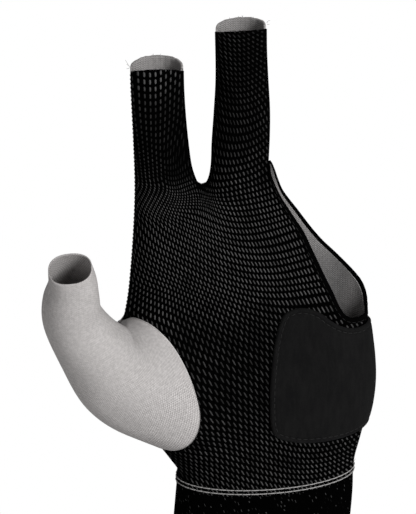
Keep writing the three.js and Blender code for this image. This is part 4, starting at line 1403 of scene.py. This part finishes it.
def tubes(name, paths, radius, material, taper):
    """One mesh of many short tubes along the given paths, thinner at their ends, with closed ends."""
    all_points, all_faces = [], []
    turn = 2 * np.pi * np.arange(THREAD_SIDES) / THREAD_SIDES
    start = 0
    for path in paths:
        path = np.asarray(path, float)
        tangent = unit(np.gradient(path, axis=0))
        side = unit(np.cross(tangent, THREAD_WAYS[int(abs(tangent[0][2]) >= 0.8)]))
        over = np.cross(tangent, side)
        share = np.linspace(-1, 1, len(path))
        thickness = radius * (1 - (1 - taper) * share**4)
        rings = path[:, None] + thickness[:, None, None] * (
            side[:, None] * np.cos(turn)[None, :, None] + over[:, None] * np.sin(turn)[None, :, None]
        )
        all_points += [rings.reshape(-1, 3), path[:1], path[-1:]]
        all_faces += (grid_faces(len(path), THREAD_SIDES, wrap=True) + start).tolist()
        all_faces += end_caps(len(path), THREAD_SIDES, start)
        start += len(path) * THREAD_SIDES + 2
    return add_piece(name, np.vstack(all_points), all_faces, material)


def stitch_paths(points, normals, length, gap, rise, sink):
    """Paths of stitches along a line on the cloth: each rises by rise and ends sunk by sink."""
    run = run_along(points)
    at = lambda s, values: np.array([np.interp(s, run, values[:, k]) for k in range(3)])
    paths = []
    start = gap / 2
    while start + length < run[-1]:
        stitch = []
        for t in np.linspace(0, 1, STITCH_POINTS):
            s = start + length * t
            lift = lerp(-sink, rise, math.sin(math.pi * t) ** 0.5 if 0 < t < 1 else 0)
            stitch.append(at(s, points) + unit(at(s, normals)) * lift)
        paths.append(stitch)
        start += length + gap
    return paths


# %% Wrist seam
STITCH_LENGTH, STITCH_GAP = 3.1, 0.05
UPPER_ROW, ROW_SPACING = 2.6, 1.55
WRIST_STEPS = 160


def round_the_wrist(above_hem):
    """Points and normals once round the wrist, at a height above the hem."""
    t = eased(WRIST_STEPS)
    z = np.full(WRIST_STEPS + 1, HEM_HEIGHT)
    for _ in range(5):
        x = lerp(x_at(thumb_side, z), x_at(little_side, z), t)
        z = HEM_HEIGHT + HEM_SLOPE * x + above_hem
    front, front_normals = surface(FRONT, x, z)
    back, back_normals = surface(BACK, x[::-1], z[::-1])
    front_normals[[0, -1]] = [(-1, 0, 0), (1, 0, 0)]
    front[:, 1] -= SEAM_GAP / 2
    back[:, 1] += SEAM_GAP / 2
    return np.vstack([front, back[1:]]), np.vstack([front_normals, back_normals[1:]])


wrist_paths = []
for above_hem in (UPPER_ROW, UPPER_ROW - ROW_SPACING):
    line = round_the_wrist(above_hem)
    wrist_paths += stitch_paths(*line, STITCH_LENGTH, STITCH_GAP, rise=0.24, sink=-0.08)
tubes("wrist_stitches", wrist_paths, 0.2, white_thread, taper=0.9)
print("wrist stitches:", len(wrist_paths))

# %% Pad seam
PAD_SEAM_END, PAD_SEAM_INNER, PAD_SEAM_SINK = 40.5, 1.6, 0.35


def pad_seam():
    """Points and normals of the stitch line, a fixed way in from the pad's edge."""
    outline = np.vstack([smooth_line(t, 200) for t in (PAD_BOTTOM[::-1], PAD_INNER_SIDE[1:], PAD_TOP[1:])])
    outline = outline[outline[:, 0] < PAD_SEAM_END]
    direction = unit(np.gradient(outline, axis=0))
    inside = outline + np.stack([direction[:, 1], -direction[:, 0]], -1) * PAD_STITCH_INSET
    clear = distance_to(outline, inside[:, 0], inside[:, 1]) > PAD_STITCH_INSET - 0.05
    inside = inside[clear]
    inside = inside[inside[:, 0] < x_at(little_side, inside[:, 1]) - PAD_SEAM_INNER]
    points, normals = surface(FRONT, inside[:, 0], inside[:, 1])
    return points + normals * (PAD_CLEARANCE + PAD_WALL - PAD_SEAM_SINK), normals


pad_paths = stitch_paths(*pad_seam(), length=1.9, gap=0.5, rise=0.12, sink=0.12)
tubes("pad_stitches", pad_paths, 0.17, pad_thread, taper=0.6)
print("pad stitches:", len(pad_paths))

# %% [markdown]
# ## Edge stitches and loose ends
# The side of the index tube is closed with an overlock seam whose grey loops show at the outline. The tape
# is held by a row of small black stitches. At the raw rims a few cut yarns stick out, as on a used glove.

# %% Overlock on the side seam
LOOP_PITCH, LOOP_LOW, LOOP_HIGH = 1.55, 93, 183
LOOP_TURN = np.radians(np.linspace(-70, 60, 9))
LOOP_INSET, LOOP_RADIUS, LOOP_SHIFT = 0.55, 0.72, 0.25
LOOP_RISE, LOOP_TWIST = 0.35, 1.3


def overlock_paths():
    """Loops of thread round the edge on the thumb's side, one at every pitch."""
    paths = []
    for z in np.arange(LOOP_LOW, LOOP_HIGH, LOOP_PITCH):
        x = float(x_at(thumb_side, z)) + LOOP_INSET - LOOP_RADIUS * np.cos(LOOP_TURN)
        y = np.sin(LOOP_TURN) + LOOP_SHIFT
        paths.append(np.stack([x, y, z + LOOP_RISE * np.sin(LOOP_TURN * LOOP_TWIST)], -1))
    return paths


side_paths = overlock_paths()
tubes("side_overlock", side_paths, 0.11, grey_thread, taper=0.8)
print("overlock loops:", len(side_paths))

# %% Painted highlight along the thumb's seam
EDGE_OUT, EDGE_SINK, EDGE_STEPS = 0.3, 0.25, 160


def thumb_highlight_path():
    """A pale thread along the palm side of the thumb's seam, a painted highlight where the jersey's turned
    edge catches the light.
    """
    loop, normals, inward = thumb_loop()
    keep = slice(RING_FRONT // 2, RING_FRONT - 5)
    points = loop - inward * EDGE_OUT - normals * EDGE_SINK
    return even_points(points[keep], EDGE_STEPS)


tubes("thumb_seam_highlight", [thumb_highlight_path()], 0.2, seam_highlight_thread, taper=0.5)

# %% Stitches on the tape
TAPE_STITCH, TAPE_STITCH_IN = 1.8, 0.45


def tape_seam():
    """Points and normals along the front half of the tape, in the middle of its width."""
    normals = opening_normal(opening_front)
    inward = unit(np.cross(np.gradient(opening_front, axis=0), normals))
    keep = slice(6, -10)
    return (opening_front + inward * TAPE_STITCH_IN + normals * BINDING_PROUD)[keep], normals[keep]


tape_paths = stitch_paths(*tape_seam(), TAPE_STITCH, PUCKER_PITCH - TAPE_STITCH, rise=0.1, sink=0.12)
tubes("tape_stitches", tape_paths, 0.11, black_thread, taper=0.6)
print("tape stitches:", len(tape_paths))

# %% Loose ends
LOOSE_ENDS = [
    # x, y, z where it leaves the cloth, then where it ends, and how far it sags
    ((-48.2, -0.3, 186.2), (-49.7, -0.8, 188.8), 0.3),
    ((-48.2, 0.2, 185.7), (-49.4, -0.4, 185.6), 0.25),
    ((-47.9, -0.6, 185.9), (-49.2, -1, 187.2), -0.3),
    ((1.3, -0.3, 202.4), (2.6, -0.6, 203.4), -0.25),
    ((1.5, -0.2, 201.9), (2.4, -0.3, 202), 0.2),
    ((33.6, -4, 31.8), (36, -3, 34.6), 0.4),
]
SAG_WAY = np.array([0.3, 0, -1])
FUZZ_SPANS = ((-0.5, 0.5), (-0.2, 0.2), (0.45, 0.95))
FUZZ_INSIDE, FUZZ_BELOW, FUZZ_SAG = 0.4, 0.3, 0.12
INDEX_LANE, MIDDLE_LANE = (-47.9, -28.6), (-17.4, 1.5)
FRONT_FUZZ, BACK_FUZZ = 16, 12


def loose_end(start, end, sag):
    """A cut yarn from one point to another, bent to one side."""
    t = np.linspace(0, 1, 9)[:, None]
    start, end = np.array(start, float), np.array(end, float)
    return start + (end - start) * t + SAG_WAY * sag * np.sin(np.pi * t) ** 2


def fuzz(side, lane_ends, rim, crown, count):
    """Short cut yarns that stand up from a raw rim."""
    paths = []
    for _ in range(count):
        t = random.uniform(0.06, 0.94)
        x = lerp(lane_ends[0], lane_ends[1], t)
        z = lerp(rim[0], rim[1], t) + crown * math.sin(math.pi * t) ** ARCH[side]
        y = side * float(depth_at(side, np.array([x]), np.array([z]))[0])
        start = np.array([x, y - side * FUZZ_INSIDE, z - FUZZ_BELOW])
        end = start + np.array([random.uniform(*span) for span in FUZZ_SPANS])
        paths.append(loose_end(start, end, random.uniform(-FUZZ_SAG, FUZZ_SAG)))
    return paths


grey_ends = [loose_end(*row) for row in LOOSE_ENDS]
black_ends = []
for tube, (lane_ends, rim) in enumerate(((INDEX_LANE, INDEX_RIM), (MIDDLE_LANE, MIDDLE_RIM))):
    black_ends += fuzz(FRONT, lane_ends, rim, CROWNS[FRONT][tube], FRONT_FUZZ)
    grey_ends += fuzz(BACK, lane_ends, rim, CROWNS[BACK][tube], BACK_FUZZ)
tubes("grey_loose_ends", grey_ends, 0.075, grey_thread, taper=0.5)
tubes("black_loose_ends", black_ends, 0.07, black_thread, taper=0.5)
print("loose ends:", len(grey_ends) + len(black_ends))

# %% [markdown]
# ## Light and floor
# The picture was taken in a white light tent. A white world gives the even fill, a broad lamp from the upper
# left front gives the forms their shape, and the floor shows as clean white to the camera while it only
# reflects softly onto the glove.

# %% Light and floor
WORLD_STRENGTH = 0.22
FLOOR_HALF, FLOOR_Z = 6.0, -0.001
scene = bpy.context.scene
scene.view_settings.view_transform = "Standard"
world = bpy.data.worlds.new("light_tent")
world.use_nodes = True
world.node_tree.nodes["Background"].inputs["Color"].default_value = (1, 1, 1, 1)
world.node_tree.nodes["Background"].inputs["Strength"].default_value = WORLD_STRENGTH
scene.world = world


def area_light(name, place, aim, size, power):
    """A square lamp turned toward a point."""
    data = bpy.data.lights.new(name, "AREA")
    data.size = size
    data.energy = power
    light = bpy.data.objects.new(name, data)
    light.location = place
    heading = np.array(aim, float) - np.array(place, float)
    light.rotation_euler = (
        math.atan2(math.hypot(heading[0], heading[1]), -heading[2]),
        0,
        math.atan2(heading[1], heading[0]) - math.pi / 2,
    )
    scene.collection.objects.link(light)


area_light("key", (0.84, -1.09, 0.65), aim=(-0.02, 0, 0.1), size=0.5, power=16)
area_light("fill", (-0.6, -1.2, 0.2), aim=(0, 0, 0.1), size=0.9, power=1.1)

floor_material = bpy.data.materials.new("white_floor")
floor_material.use_nodes = True
g = Graph(floor_material.node_tree)
floor_shader = floor_material.node_tree.nodes["Principled BSDF"]
floor_shader.inputs["Base Color"].default_value = (0.8, 0.8, 0.8, 1)
floor_shader.inputs["Roughness"].default_value = 0.9
glow = g.add("ShaderNodeEmission")
glow.inputs["Strength"].default_value = 1.0
seen = g.add("ShaderNodeMixShader")
g.feed(seen.inputs[0], g.add("ShaderNodeLightPath").outputs["Is Camera Ray"])
g.feed(seen.inputs[1], floor_shader.outputs[0])
g.feed(seen.inputs[2], glow.outputs[0])
g.feed(floor_material.node_tree.nodes["Material Output"].inputs["Surface"], seen.outputs[0])

floor_mesh = bpy.data.meshes.new("floor")
corners = [(x * FLOOR_HALF, y * FLOOR_HALF, FLOOR_Z) for x, y in ((-1, -1), (1, -1), (1, 1), (-1, 1))]
floor_mesh.from_pydata(corners, [], [(0, 1, 2, 3)])
floor_mesh.materials.append(floor_material)
floor = bpy.data.objects.new("floor", floor_mesh)
scene.collection.objects.link(floor)
